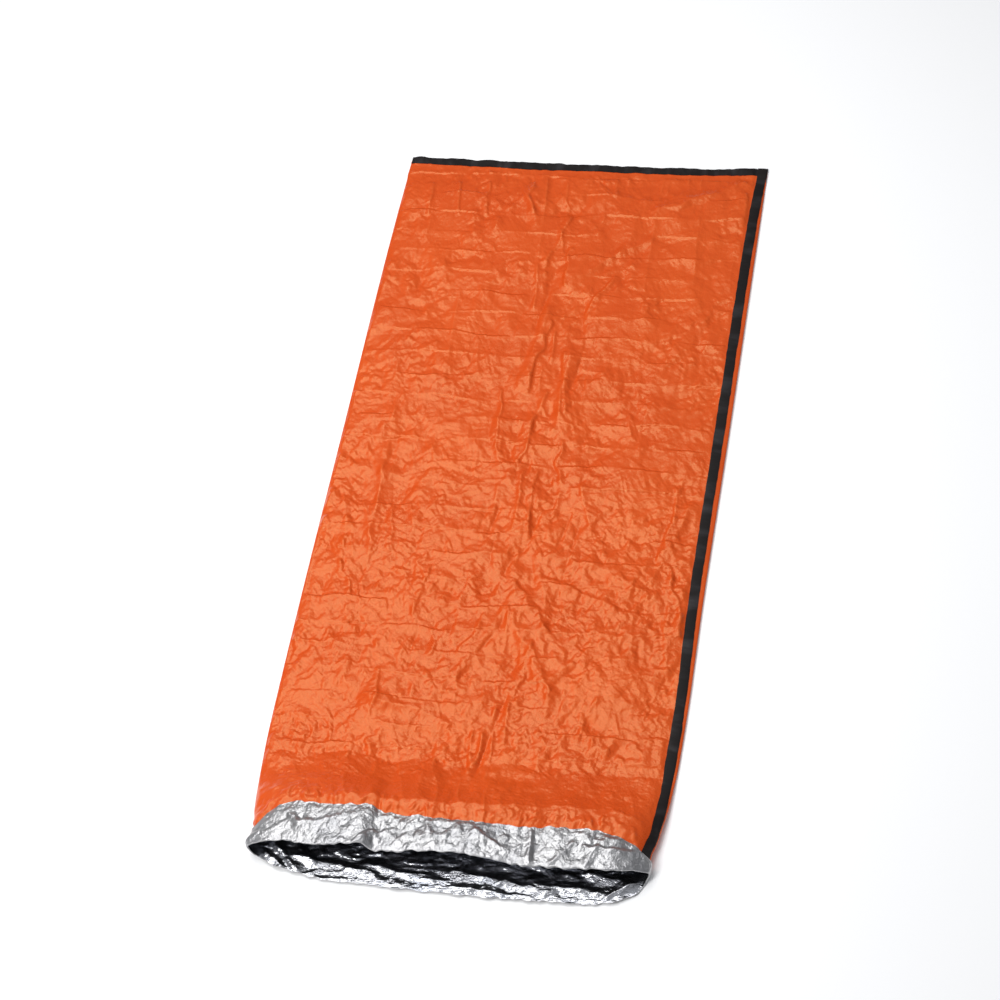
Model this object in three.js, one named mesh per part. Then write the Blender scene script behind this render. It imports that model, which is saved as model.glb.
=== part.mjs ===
// Emergency sleeping bag of thin coated film, laid out flat with its mouth turned back.
// Millimetres, +Z up. X runs across the bag and Y along it, with the mouth at -Y and the foot at +Y.
// The bag is one panel of film, folded along its left edge and seamed along the right edge and foot.
// Its mouth stands a little open, and the film is turned back outside it all round, as a cuff.
import * as THREE from "three";

// Driving dimensions.
const bagLength = 2130;
const bagWidth = 910;
const filmThickness = 1.2;
const cuffDepth = 100;
const cuffGap = 0.8;
const bindingWidth = 25;
const bindingThickness = 1.2;
const pieceGap = 0.3;
const bodyHeight = 10.4;
const packPitch = 65;

// Levels of the outer film where it rests on something.
const cuffLevel = cuffGap + filmThickness;
const seamLevel = bindingThickness + pieceGap;
const seamThickness = 2 * filmThickness;

// Places along the length, and the half width.
const half = bagLength / 2;
const halfWidth = bagWidth / 2;
const turnRadius = filmThickness + cuffGap / 2;
const lipY = -half + turnRadius;
const cuffY = lipY + cuffDepth;
const riseY = -745;
const footWave = 10;
const footEndY = half - footWave - bindingThickness - pieceGap;
const footSeamY = half - footWave - bindingWidth - 3;
const footSlopeY = footSeamY - 30;
const footTaper = 60;
const offCuff = { from: 12, to: 48 };

// How far the bag's two sides lie in from its half width. Then the widths seen from above at the right side:
// the strip of film outside the seam's binding, and the binding.
const edges = [
  { y: -1065, leftIn: 42, rightIn: 37, strip: 2, binding: 22 },
  { y: -1005, leftIn: 31, rightIn: 29, strip: 2, binding: 23 },
  { y: -988, leftIn: 28, rightIn: 29, strip: 2, binding: 21 },
  { y: -967, leftIn: 34, rightIn: 29, strip: 2, binding: 19 },
  { y: -942, leftIn: 29, rightIn: 28, strip: 1.5, binding: 16.5 },
  { y: -903, leftIn: 19, rightIn: 20, strip: 2, binding: 16 },
  { y: -830, leftIn: 11, rightIn: 10, strip: 3, binding: 20 },
  { y: -780, leftIn: 7, rightIn: 6, strip: 5, binding: 20 },
  { y: -700, leftIn: 3, rightIn: 2, strip: 6, binding: 23 },
  { y: -540, leftIn: 1, rightIn: 0, strip: 7, binding: 22 },
  { y: -270, leftIn: 0, rightIn: 2, strip: 10, binding: 22 },
  { y: 160, leftIn: 1, rightIn: 0, strip: 10, binding: 23 },
  { y: 620, leftIn: 1, rightIn: 0, strip: 9, binding: 23 },
  { y: 860, leftIn: 3, rightIn: 0, strip: 7, binding: 23 },
  { y: 1065, leftIn: 7, rightIn: 0, strip: 1, binding: 23 },
];

// How each side turns from the lower layer to the upper one: its edge's radius, then its slope's reach.
const turns = [
  { y: -1065, leftRound: 24, rightRound: 16, leftSlope: 70, rightSlope: 84 },
  { y: -988, leftRound: 24, rightRound: 16, leftSlope: 70, rightSlope: 84 },
  { y: -942, leftRound: 22, rightRound: 15, leftSlope: 66, rightSlope: 80 },
  { y: -903, leftRound: 18, rightRound: 13, leftSlope: 60, rightSlope: 72 },
  { y: -830, leftRound: 11, rightRound: 9, leftSlope: 50, rightSlope: 60 },
  { y: -780, leftRound: 7, rightRound: 6, leftSlope: 36, rightSlope: 52 },
  { y: -700, leftRound: 5, rightRound: 4, leftSlope: 26, rightSlope: 46 },
  { y: -540, leftRound: 4, rightRound: 4, leftSlope: 22, rightSlope: 44 },
  { y: 620, leftRound: 4, rightRound: 4, leftSlope: 22, rightSlope: 44 },
  { y: 860, leftRound: 3, rightRound: 3, leftSlope: 20, rightSlope: 38 },
  { y: 1065, leftRound: 1.2, rightRound: 1.2, leftSlope: 12, rightSlope: 12 },
];

// The two lips of the mouth: how far forward each reaches, and how high the upper one stands.
const upperLip = [
  { x: -432, y: -999, height: 46 },
  { x: -354, y: -1000, height: 62 },
  { x: -278, y: -1009, height: 72 },
  { x: -225, y: -1006, height: 80 },
  { x: -178, y: -1003, height: 83 },
  { x: -150, y: -1011, height: 71 },
  { x: -60, y: -1007, height: 76 },
  { x: 23, y: -1003, height: 77 },
  { x: 149, y: -1013, height: 63 },
  { x: 213, y: -1013, height: 60 },
  { x: 333, y: -1005, height: 57 },
  { x: 395, y: -993, height: 50 },
  { x: 427, y: -984, height: 38 },
];
const lowerLip = [
  { x: -432, y: -999 },
  { x: -405, y: -1011 },
  { x: -379, y: -1026 },
  { x: -330, y: -1040 },
  { x: -271, y: -1050 },
  { x: -99, y: -1059 },
  { x: 58, y: -1063 },
  { x: 184, y: -1063 },
  { x: 300, y: -1060 },
  { x: 353, y: -1052 },
  { x: 404, y: -1027 },
  { x: 427, y: -984 },
];

// The turned-back cuff is deepest in the middle and narrows round the two corners of the mouth.
const cuffDepths = [
  { x: -432, depth: 34 },
  { x: -407, depth: 54 },
  { x: -375, depth: 86 },
  { x: -320, depth: 103 },
  { x: -170, depth: 100 },
  { x: -90, depth: 90 },
  { x: 20, depth: 82 },
  { x: 100, depth: 86 },
  { x: 200, depth: 97 },
  { x: 250, depth: 98 },
  { x: 320, depth: 92 },
  { x: 370, depth: 74 },
  { x: 409, depth: 44 },
  { x: 430, depth: 24 },
];

// How much of the lip's height the upper layer has reached on its way to the mouth.
const mouthRise = [
  { y: -1014, share: 1 },
  { y: -950, share: 0.92 },
  { y: -905, share: 0.84 },
  { y: -869, share: 0.76 },
  { y: -830, share: 0.5 },
  { y: -790, share: 0.22 },
  { y: riseY, share: 0 },
];

// The foot edge, and the lengthwise fold that packing left down the middle.
const footEdge = [
  { x: -448, y: 1065 },
  { x: -257, y: 1061 },
  { x: -69, y: 1058 },
  { x: 84, y: 1058 },
  { x: 286, y: 1056 },
  { x: 455, y: 1064 },
];
const spine = [
  { y: -1065, x: 40 },
  { y: -757, x: 44 },
  { y: -300, x: 28 },
  { y: 66, x: 11 },
  { y: 496, x: -13 },
  { y: 1065, x: -28 },
];

// Broad puffs of air under the upper layer: centre, half sizes and height.
const puffs = [
  { x: -230, y: -560, alongX: 190, alongY: 190, height: 5 },
  { x: 230, y: -480, alongX: 170, alongY: 260, height: 6 },
  { x: -150, y: -150, alongX: 220, alongY: 180, height: 3.5 },
  { x: 250, y: 40, alongX: 150, alongY: 190, height: 4.5 },
  { x: -260, y: 330, alongX: 170, alongY: 210, height: 3 },
  { x: 160, y: 520, alongX: 210, alongY: 170, height: 4.5 },
  { x: -90, y: 760, alongX: 260, alongY: 150, height: 3.5 },
  { x: 300, y: 880, alongX: 130, alongY: 110, height: 3.5 },
];

// Long folds that stand up from the upper layer, from one end to the other, with height and half width.
const folds = [
  { x0: 30, y0: -330, x1: 150, y1: -560, height: 7, reach: 34 },
  { x0: 90, y0: -250, x1: 118, y1: -420, height: 4, reach: 26 },
  { x0: 20, y0: -350, x1: -70, y1: -560, height: 5, reach: 30 },
  { x0: 150, y0: -180, x1: 330, y1: -270, height: 5, reach: 32 },
  { x0: -330, y0: 40, x1: -322, y1: -190, height: 4, reach: 28 },
  { x0: -250, y0: -590, x1: -60, y1: -640, height: 4, reach: 30 },
  { x0: 395, y0: -20, x1: 335, y1: -230, height: 5, reach: 28 },
  { x0: 380, y0: -300, x1: 392, y1: -470, height: 4, reach: 24 },
  { x0: -20, y0: 560, x1: -40, y1: 320, height: 4, reach: 26 },
  { x0: 60, y0: 430, x1: 44, y1: 190, height: 5, reach: 28 },
  { x0: 60, y0: 700, x1: 190, y1: 800, height: 4, reach: 26 },
  { x0: -210, y0: 930, x1: -195, y1: 820, height: 3, reach: 24 },
  { x0: -130, y0: 960, x1: -105, y1: 840, height: 3, reach: 24 },
  { x0: 210, y0: 900, x1: 400, y1: 1000, height: 4, reach: 26 },
  { x0: -90, y0: 250, x1: -60, y1: 60, height: 4, reach: 26 },
  { x0: 200, y0: -600, x1: 290, y1: -690, height: 4, reach: 28 },
];

// Heights of the creases that packing left, and how far they reach or fade.
const crease = {
  packed: 1.2,
  crumple: 0.6,
  spineCrumple: 2.2,
  spine: 3.8,
  spineReach: 24,
  mouth: 4,
  sideFade: 28,
  bodyFade: 60,
};

// Returns a function that reads one column of a table at any place, along a smooth curve through its rows.
function reader(table, key, column) {
  const rows = [...table].sort((a, b) => a[key] - b[key]);
  const last = rows.length - 1;
  const slopes = rows.map((_, i) => {
    const before = rows[Math.max(i - 1, 0)];
    const after = rows[Math.min(i + 1, last)];
    return (after[column] - before[column]) / (after[key] - before[key]);
  });
  return (place) => {
    if (place <= rows[0][key]) return rows[0][column];
    if (place >= rows[last][key]) return rows[last][column];
    const i = rows.findIndex((row) => row[key] > place) - 1;
    const span = rows[i + 1][key] - rows[i][key];
    const t = (place - rows[i][key]) / span;
    const ease = t * t * (3 - 2 * t);
    const startPull = t * (1 - t) * (1 - t) * span * slopes[i];
    const endPull = t * t * (1 - t) * span * slopes[i + 1];
    return THREE.MathUtils.lerp(rows[i][column], rows[i + 1][column], ease) + startPull - endPull;
  };
}

const { lerp, smoothstep } = THREE.MathUtils;
const readers = (table) => Object.keys(table[0]).map((name) => [name, reader(table, "y", name)]);
const outlineAt = Object.fromEntries([...readers(edges), ...readers(turns)]);
const upperLipY = reader(upperLip, "x", "y");
const upperLipHeight = reader(upperLip, "x", "height");
const lowerLipY = reader(lowerLip, "x", "y");
const cuffDepthAt = reader(cuffDepths, "x", "depth");
const riseShare = reader(mouthRise, "y", "share");
const footEdgeY = reader(footEdge, "x", "y");
const spineX = reader(spine, "y", "x");

// An even scatter between 0 and 1 that is the same each time.
function scatter(i, j) {
  const value = Math.sin(i * 12.9898 + j * 78.233) * 43758.5453;
  return value - Math.floor(value);
}

// The height of one long fold at a place: a rounded ridge that fades out towards its ends.
function foldHeight(fold, x, y) {
  const alongX = fold.x1 - fold.x0;
  const alongY = fold.y1 - fold.y0;
  const length = Math.hypot(alongX, alongY);
  const along = ((x - fold.x0) * alongX + (y - fold.y0) * alongY) / length;
  const aside = Math.abs((x - fold.x0) * alongY - (y - fold.y0) * alongX) / length;
  const past = Math.max(0, -along, along - length);
  const away = Math.hypot(aside, past) / fold.reach;
  return away < 1 ? fold.height * (1 - away) * (1 - away * away) : 0;
}

// The smooth height of the upper layer's outside, away from the sides.
function puffedHeight(x, y) {
  const puff = puffs.reduce((sum, p) => {
    const away = Math.hypot((x - p.x) / p.alongX, (y - p.y) / p.alongY);
    return sum + (away < 1 ? p.height * (1 - away * away) ** 2 : 0);
  }, 0);
  const foot = smoothstep(y, footSlopeY - footTaper, footSeamY);
  return lerp(bodyHeight + puff, seamLevel + seamThickness, foot);
}

// The lower layer's outside rests on the floor, on the cuff turned under it, and on the foot's binding.
function floorLevel(y) {
  const onCuff = 1 - smoothstep(y, cuffY + offCuff.from, cuffY + offCuff.to);
  const onBinding = smoothstep(y, footSlopeY, footSeamY);
  return cuffLevel * onCuff + seamLevel * onBinding;
}

// A side's turn: 0 at the very edge and 1 where the layer has levelled out.
function sideTurn(away) {
  const left = Math.max(0, 1 - away);
  return Math.sqrt(1 - left * left);
}

// Columns across the upper layer, from the left fold to the right edge, then the lower layer back again.
const leftTurnShares = [0, 0.3, 1];
const leftColumns = 11;
const rightColumns = 10;
const lowerShares = [1, 0.96, 0.88, 0.68, 0.34, 0.13, 0.04, 0];
const spineGrading = 1.25;
const roundShare = 1 - Math.SQRT1_2;
const columns = [
  ...leftTurnShares.map((share) => ({ layer: "upper", from: "leftTurn", share })),
  ...Array.from({ length: leftColumns }, (_, i) => ({
    layer: "upper",
    from: "leftBody",
    share: 1 - (1 - (i + 1) / leftColumns) ** spineGrading,
  })),
  ...Array.from({ length: rightColumns }, (_, i) => ({
    layer: "upper",
    from: "rightBody",
    share: ((i + 1) / rightColumns) ** spineGrading,
  })),
  { layer: "upper", from: "tape", share: 0.5 },
  { layer: "upper", from: "tape", share: 1 },
  { layer: "upper", from: "rightEdge", share: 0 },
  { layer: "lower", from: "rightRound", share: roundShare },
  ...lowerShares.map((share) => ({ layer: "lower", from: "floor", share })),
  { layer: "lower", from: "leftRound", share: roundShare },
];
const upperCount = columns.filter((column) => column.layer === "upper").length;
const tapeColumn = columns.findIndex((column) => column.from === "tape") - 1;

// How far a point has been drawn towards the mouth's final shape, from 0 in the body to 1 at the cuff.
function mouthShare(y) {
  return 1 - smoothstep(y, cuffY, riseY);
}

// Where a point of the flat film at y has come to lie, given its lip's reach and its cuff's depth.
function drawnY(y, reach, depth) {
  if (y <= cuffY) return reach + ((y - lipY) * depth) / cuffDepth;
  return y + mouthShare(y) * (reach - lipY + depth - cuffDepth);
}

// Across the bag at one place, for a point of the outer film.
function columnX(column, sides) {
  const { left, right, tapeIn, tapeOut, leftSlope, middle, leftRound, rightRound } = sides;
  switch (column.from) {
    case "leftTurn":
      return left + column.share * leftSlope;
    case "leftBody":
      return lerp(left + leftSlope, middle, column.share);
    case "rightBody":
      return lerp(middle, tapeIn, column.share);
    case "tape":
      return lerp(tapeIn, tapeOut, column.share);
    case "rightEdge":
      return right;
    case "rightRound":
      return right - column.share * rightRound;
    case "leftRound":
      return left + column.share * leftRound;
    default:
      return lerp(left + leftRound, right - rightRound, column.share);
  }
}

// The sides of the bag at one place along the film.
function sidesAt(y) {
  const leftY = drawnY(y, upperLip[0].y, cuffDepths[0].depth);
  const rightY = drawnY(y, upperLip.at(-1).y, cuffDepths.at(-1).depth);
  const right = halfWidth - outlineAt.rightIn(rightY);
  const tapeOut = right - outlineAt.strip(rightY);
  return {
    left: outlineAt.leftIn(leftY) - halfWidth,
    leftRound: outlineAt.leftRound(leftY),
    leftSlope: outlineAt.leftSlope(leftY),
    right,
    rightRound: outlineAt.rightRound(rightY),
    rightSlope: outlineAt.rightSlope(rightY),
    tapeIn: tapeOut - outlineAt.binding(rightY),
    tapeOut,
    middle: spineX(y),
  };
}

// The outer film without its creases at one place.
function smoothPoint(column, index, y, row, sides) {
  const x = columnX(column, sides);
  if (column.layer === "lower") {
    const placeY = drawnY(y, lowerLipY(x), cuffDepthAt(x));
    const level = floorLevel(y);
    const round = { rightRound: sides.rightRound, leftRound: sides.leftRound }[column.from] ?? 0;
    return new THREE.Vector3(x, placeY, level + roundShare * round);
  }
  const placeY = drawnY(y, upperLipY(x), cuffDepthAt(x));
  const onLeft = x < sides.middle;
  const round = onLeft ? sides.leftRound : sides.rightRound;
  const away = onLeft ? (x - sides.left) / sides.leftSlope : (sides.right - x) / sides.rightSlope;
  const edge = floorLevel(y) + round;
  const share = riseShare(placeY);
  const crumple = crease.mouth * share * (scatter(index, row) - 0.5);
  const crown = lerp(puffedHeight(x, y), upperLipHeight(x) - cuffLevel, share) + crumple;
  return new THREE.Vector3(x, placeY, edge + (crown - edge) * sideTurn(away));
}

// How far the creases of the packed bag stand out of the film at one point, in millimetres.
function creaseHeight(column, index, point, row, sides) {
  if (column.layer === "lower" || point.y > footSlopeY) return 0;
  const body = smoothstep(point.y, riseY, riseY + crease.bodyFade);
  const fromTape = smoothstep(sides.tapeIn - point.x, 0, crease.sideFade);
  const fromFold = smoothstep(point.x - sides.left, crease.sideFade / 2, 2 * crease.sideFade);
  const fromSpine = Math.abs(point.x - sides.middle);
  const spineHeight = crease.spine * (0.3 + 0.7 * scatter(row, 3));
  const spineRidge = spineHeight * Math.max(0, 1 - fromSpine / crease.spineReach);
  const packed = row % 2 ? 0 : crease.packed * (0.25 + 0.75 * scatter(index >> 1, row));
  const nearSpine = 1 - smoothstep(fromSpine, crease.spineReach, 5 * crease.spineReach);
  const crumple = lerp(crease.crumple, crease.spineCrumple, nearSpine) * scatter(index, row);
  const long = folds.reduce((sum, fold) => sum + foldHeight(fold, point.x, point.y), 0);
  return body * fromTape * fromFold * (packed + spineRidge + crumple + long);
}

// Places of the rows along the film.
const bodyRows = 2 * Math.round((footSlopeY - riseY) / packPitch);
const slopeRows = 6;
const cuffRows = 7;
function evenly(from, to, count) {
  return Array.from({ length: count }, (_, i) => lerp(from, to, i / count));
}
const bodyPlaces = evenly(footSlopeY, riseY, bodyRows);
const mouthPlaces = [...evenly(riseY, cuffY, slopeRows), ...evenly(cuffY, lipY, cuffRows), lipY];
const filmPlaces = [footEndY, footSeamY, ...bodyPlaces, ...mouthPlaces];
const firstCuffRow = filmPlaces.length - 1 - cuffRows;

// The outer film as one ring of points round the bag at each place.
const outsideFilm = filmPlaces.map((y, row) => {
  const sides = sidesAt(y);
  return columns.map((column, i) => {
    const point = smoothPoint(column, i, y, row, sides);
    point.z += creaseHeight(column, i, point, row, sides);
    return point;
  });
});

// The outward direction of a grid of rings at each of its points.
function outwards(rings) {
  const last = rings.length - 1;
  return rings.map((ring, row) =>
    ring.map((_, i) => {
      const around = ring[(i + 1) % ring.length].clone().sub(ring.at(i - 1));
      const along = rings[Math.min(row + 1, last)][i].clone().sub(rings[Math.max(row - 1, 0)][i]);
      return along.cross(around).normalize();
    }),
  );
}

// Each point of a ring moved out along its own direction.
function offsetRing(ring, directions, distance) {
  return ring.map((point, i) => point.clone().addScaledVector(directions[i], distance));
}

// A ring on the round turn at the lip, at an angle from the film's inner side to its outer side.
function turnRing(ring, directions, before, radius, angle) {
  return ring.map((point, i) => {
    const forward = point.clone().sub(before[i]).normalize();
    return point
      .clone()
      .addScaledVector(directions[i], cuffGap / 2 - radius * Math.cos(angle))
      .addScaledVector(forward, radius * Math.sin(angle));
  });
}

// Triangles between the upper and lower chains of one ring, which closes the ring across.
function capTriangles(ring, start, facesFoot) {
  const upper = ring.slice(0, upperCount).map((_, i) => i);
  const lower = [0, ...ring.slice(upperCount).map((_, i) => ring.length - 1 - i), upperCount - 1];
  const triangles = [];
  let i = 0;
  let j = 0;
  while (i < upper.length - 1 || j < lower.length - 1) {
    const upperNext = i < upper.length - 1 ? ring[upper[i + 1]].x : Infinity;
    const lowerNext = j < lower.length - 1 ? ring[lower[j + 1]].x : Infinity;
    const onUpper = upperNext <= lowerNext;
    const triangle = [upper[i], onUpper ? upper[i + 1] : lower[j + 1], lower[j]];
    if (onUpper) i++;
    else j++;
    if (new Set(triangle).size === 3) triangles.push(facesFoot ? triangle : triangle.reverse());
  }
  return triangles.map((triangle) => triangle.map((corner) => corner + start));
}

// A closed surface through a list of rings, with its first ring facing the mouth and its last the foot.
function ringSolid(rings) {
  const around = rings[0].length;
  const triangles = [];
  for (let row = 0; row < rings.length - 1; row++) {
    for (let i = 0; i < around; i++) {
      const next = (i + 1) % around;
      const [a, b] = [row * around + i, row * around + next];
      const [c, d] = [b + around, a + around];
      triangles.push([a, b, c], [a, c, d]);
    }
  }
  triangles.push(...capTriangles(rings[0], 0, false));
  triangles.push(...capTriangles(rings.at(-1), (rings.length - 1) * around, true));
  return meshGeometry(rings.flat(), triangles);
}

// A closed strip between two grids of the same size, one over the other.
function stripSolid(over, under) {
  const rows = over.length;
  const across = over[0].length;
  const base = rows * across;
  const triangles = [];
  for (let row = 0; row < rows - 1; row++) {
    for (let i = 0; i < across - 1; i++) {
      const [a, b] = [row * across + i, row * across + i + 1];
      const [c, d] = [b + across, a + across];
      triangles.push([a, d, b], [b, d, c], [base + a, base + b, base + d], [base + b, base + c, base + d]);
    }
  }
  const rim = [
    ...Array.from({ length: across - 1 }, (_, i) => i),
    ...Array.from({ length: rows - 1 }, (_, row) => row * across + across - 1),
    ...Array.from({ length: across - 1 }, (_, i) => rows * across - 1 - i),
    ...Array.from({ length: rows - 1 }, (_, row) => (rows - 1 - row) * across),
  ];
  rim.forEach((from, i) => {
    const to = rim[(i + 1) % rim.length];
    triangles.push([from, to, base + to], [from, base + to, base + from]);
  });
  return meshGeometry([...over.flat(), ...under.flat()], triangles);
}

function meshGeometry(points, triangles) {
  const geometry = new THREE.BufferGeometry().setFromPoints(points);
  geometry.setIndex(triangles.flat());
  geometry.computeVertexNormals();
  return geometry;
}

// The bag: its inside from the foot to the lip, round the lip, over the cuff and back, and its outside.
function bagShell() {
  const out = outwards(outsideFilm);
  const lastRow = outsideFilm.length - 1;
  const lip = outsideFilm[lastRow];
  const beforeLip = outsideFilm[lastRow - 1];
  const inside = outsideFilm.map((ring, row) => offsetRing(ring, out[row], -filmThickness)).slice(2);
  const outerTurn = [1, 2, 3].map((step) =>
    turnRing(lip, out[lastRow], beforeLip, turnRadius, (step * Math.PI) / 4),
  );
  const innerTurn = turnRing(lip, out[lastRow], beforeLip, cuffGap / 2, Math.PI / 2);
  const cuff = filmPlaces.map((_, row) => row).slice(firstCuffRow);
  const cuffOver = cuff.map((row) => offsetRing(outsideFilm[row], out[row], cuffLevel)).reverse();
  const cuffUnder = cuff.map((row) => offsetRing(outsideFilm[row], out[row], cuffGap));
  const outside = [...outsideFilm].reverse();
  return ringSolid([...inside, ...outerTurn, ...cuffOver, ...cuffUnder, innerTurn, ...outside]);
}

// The side seam's binding lies on the upper layer, from over the foot's binding to the cuff.
function sideBinding() {
  const out = outwards(outsideFilm);
  const overFoot = seamLevel + seamThickness + 2 * pieceGap + bindingThickness;
  const beforeCuff = 0.1;
  const layer = (height) => {
    const rows = outsideFilm.slice(0, firstCuffRow + 1).map((ring, row) =>
      ring.slice(tapeColumn, tapeColumn + 3).map((point, i) => {
        const placed = point.clone().addScaledVector(out[row][tapeColumn + i], height + pieceGap);
        if (row < 2) placed.z = overFoot + height;
        if (row === 0) placed.y = footEdgeY(placed.x);
        return placed;
      }),
    );
    rows.at(-1).forEach((point, i) => point.lerp(rows.at(-2)[i], beforeCuff));
    return rows;
  };
  return stripSolid(layer(bindingThickness), layer(0));
}

// The foot's binding is folded over the joined edge, with one leg above the seam and one below.
function footBinding() {
  const crossings = 26;
  const { left, right } = sidesAt(half);
  const seamTop = seamLevel + seamThickness + pieceGap;
  const legs = (outer) => {
    const grow = outer ? bindingThickness : 0;
    const low = seamLevel - pieceGap - grow;
    const high = seamTop + grow;
    const middle = (low + high) / 2;
    const endY = -bindingThickness + grow;
    const corner = 0.9;
    return [
      { y: -bindingWidth, z: low },
      { y: endY - corner, z: low },
      { y: endY, z: lerp(low, middle, 0.5) },
      { y: endY, z: lerp(high, middle, 0.5) },
      { y: endY - corner, z: high },
      { y: -bindingWidth, z: high },
    ];
  };
  const layer = (outer) =>
    Array.from({ length: crossings + 1 }, (_, i) => {
      const x = lerp(left, right, i / crossings);
      return legs(outer).map(({ y, z }) => new THREE.Vector3(x, footEdgeY(x) + y, z));
    });
  return stripSolid(layer(false), layer(true));
}

function piece(name, geometry, color, roughness, metalness) {
  const mesh = new THREE.Mesh(geometry, new THREE.MeshStandardMaterial({ color, roughness, metalness }));
  mesh.name = name;
  return mesh;
}

const bag = new THREE.Group();
bag.add(
  piece("bag_shell", bagShell(), 0xe05a28, 0.45, 0),
  piece("side_binding", sideBinding(), 0x1c1a1a, 0.8, 0),
  piece("foot_binding", footBinding(), 0x1c1a1a, 0.8, 0),
);

// The origin is at the middle of the bag, on the floor.
const middle = new THREE.Box3().setFromObject(bag).getCenter(new THREE.Vector3());
bag.position.set(-middle.x, -middle.y, 0);

export default bag;
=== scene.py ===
"""Emergency sleeping bag of thin coated film, laid out flat with its mouth turned back in a cuff.

The looks of the bag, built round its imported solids. Blender objects are in metres, and the tables and sizes
of the film are in millimetres. X runs across the bag and Y along it, with the mouth at -Y and the foot at +Y.
"""

import logging
import math
from dataclasses import dataclass, field
from enum import Enum

import bpy
import numpy as np
from mathutils import Matrix, Vector

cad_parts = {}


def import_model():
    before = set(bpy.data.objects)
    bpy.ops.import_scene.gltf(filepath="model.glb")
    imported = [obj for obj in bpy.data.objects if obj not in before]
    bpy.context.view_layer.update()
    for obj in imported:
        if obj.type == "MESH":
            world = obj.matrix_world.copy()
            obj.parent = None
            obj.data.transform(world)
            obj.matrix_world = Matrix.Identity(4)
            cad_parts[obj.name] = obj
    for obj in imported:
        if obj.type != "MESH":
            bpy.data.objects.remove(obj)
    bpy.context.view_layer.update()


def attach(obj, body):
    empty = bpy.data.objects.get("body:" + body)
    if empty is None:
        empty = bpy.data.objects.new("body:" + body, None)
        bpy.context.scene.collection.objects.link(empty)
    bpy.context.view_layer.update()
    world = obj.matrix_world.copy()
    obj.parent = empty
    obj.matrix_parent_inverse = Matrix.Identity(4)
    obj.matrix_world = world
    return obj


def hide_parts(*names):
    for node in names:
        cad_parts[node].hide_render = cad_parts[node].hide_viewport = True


log = logging.getLogger("sleeping_bag")
Array = np.ndarray
Socket = bpy.types.NodeSocket
Colour = tuple[float, float, float, float]
METRES = 0.001
SEED = 5

# Driving dimensions, as in the solids.
BAG_LENGTH = 2130.0
BAG_WIDTH = 910.0
CUFF_DEPTH = 100.0
SOLID_FILM = 1.2
SOLID_GAP = 0.8
BINDING_WIDTH = 25.0
BINDING_THICKNESS = 1.2
PIECE_GAP = 0.3
BODY_HEIGHT = 10.4
PACK_PITCH = 66.5
PACK_START = 942.0
UPRIGHT_PITCH = 113.0

# Levels and places worked out from them.
CUFF_LEVEL = SOLID_GAP + SOLID_FILM
SEAM_LEVEL = BINDING_THICKNESS + PIECE_GAP
SEAM_TOP = SEAM_LEVEL + 2 * SOLID_FILM
HALF = BAG_LENGTH / 2
HALF_WIDTH = BAG_WIDTH / 2
TURN_RADIUS = SOLID_FILM + SOLID_GAP / 2
LIP_Y = -HALF + TURN_RADIUS
CUFF_Y = LIP_Y + CUFF_DEPTH
RISE_Y = -745.0
MOUTH_Y = -925.0
FOOT_WAVE = 10.0
FOOT_END_Y = HALF - FOOT_WAVE - BINDING_THICKNESS - PIECE_GAP
FOOT_SEAM_Y = HALF - FOOT_WAVE - BINDING_WIDTH - 3.0
FOOT_SLOPE_Y = FOOT_SEAM_Y - 30.0
FOOT_TAPER = 60.0
OFF_CUFF = (12.0, 48.0)
LIP_CORNER = 404.0

# The film as it shows: its own thickness, and the gap inside the fold of the cuff above and below.
FILM = 0.4
CUFF_GAP_OVER = 3.0
CUFF_GAP_UNDER = 1.2

# The second difference of a relief, in millimetres, that counts as a sharp crease.
SHARP_TURN = 0.9


def smoothstep(place: Array, start: float, end: float) -> Array:
    """Eases from 0 at start to 1 at end."""
    t = np.clip((place - start) / (end - start), 0.0, 1.0)
    return t * t * (3.0 - 2.0 * t)


def lerp(start: Array, end: Array, share: Array) -> Array:
    """Goes straight from start to end."""
    return start + (end - start) * share


@dataclass(frozen=True)
class Curve:
    """One column of a table, read at any place along a smooth curve through its rows."""

    places: Array
    values: Array

    def __call__(self, at: Array) -> Array:
        """Reads the curve.

        Args:
            at: the places to read it at.

        Returns:
            The values there, held level past the ends.
        """
        places, values = self.places, self.values
        slopes = np.empty(len(places))
        slopes[1:-1] = (values[2:] - values[:-2]) / (places[2:] - places[:-2])
        slopes[0] = (values[1] - values[0]) / (places[1] - places[0])
        slopes[-1] = (values[-1] - values[-2]) / (places[-1] - places[-2])
        i = np.clip(np.searchsorted(places, at, side="right") - 1, 0, len(places) - 2)
        span = places[i + 1] - places[i]
        t = np.clip((at - places[i]) / span, 0.0, 1.0)
        eased = lerp(values[i], values[i + 1], t * t * (3.0 - 2.0 * t))
        start_pull = t * (1.0 - t) ** 2 * span * slopes[i]
        end_pull = t * t * (1.0 - t) * span * slopes[i + 1]
        return eased + start_pull - end_pull


def table(names: str, *rows: tuple[float, ...]) -> dict[str, Curve]:
    """Reads a table.

    Args:
        names: the columns' names, with the place first.
        rows: the table's rows, in the order of their places.

    Returns:
        A curve for each column after the first.
    """
    columns = np.array(rows, float).T
    return {name: Curve(columns[0], column) for name, column in zip(names.split()[1:], columns[1:])}


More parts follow.
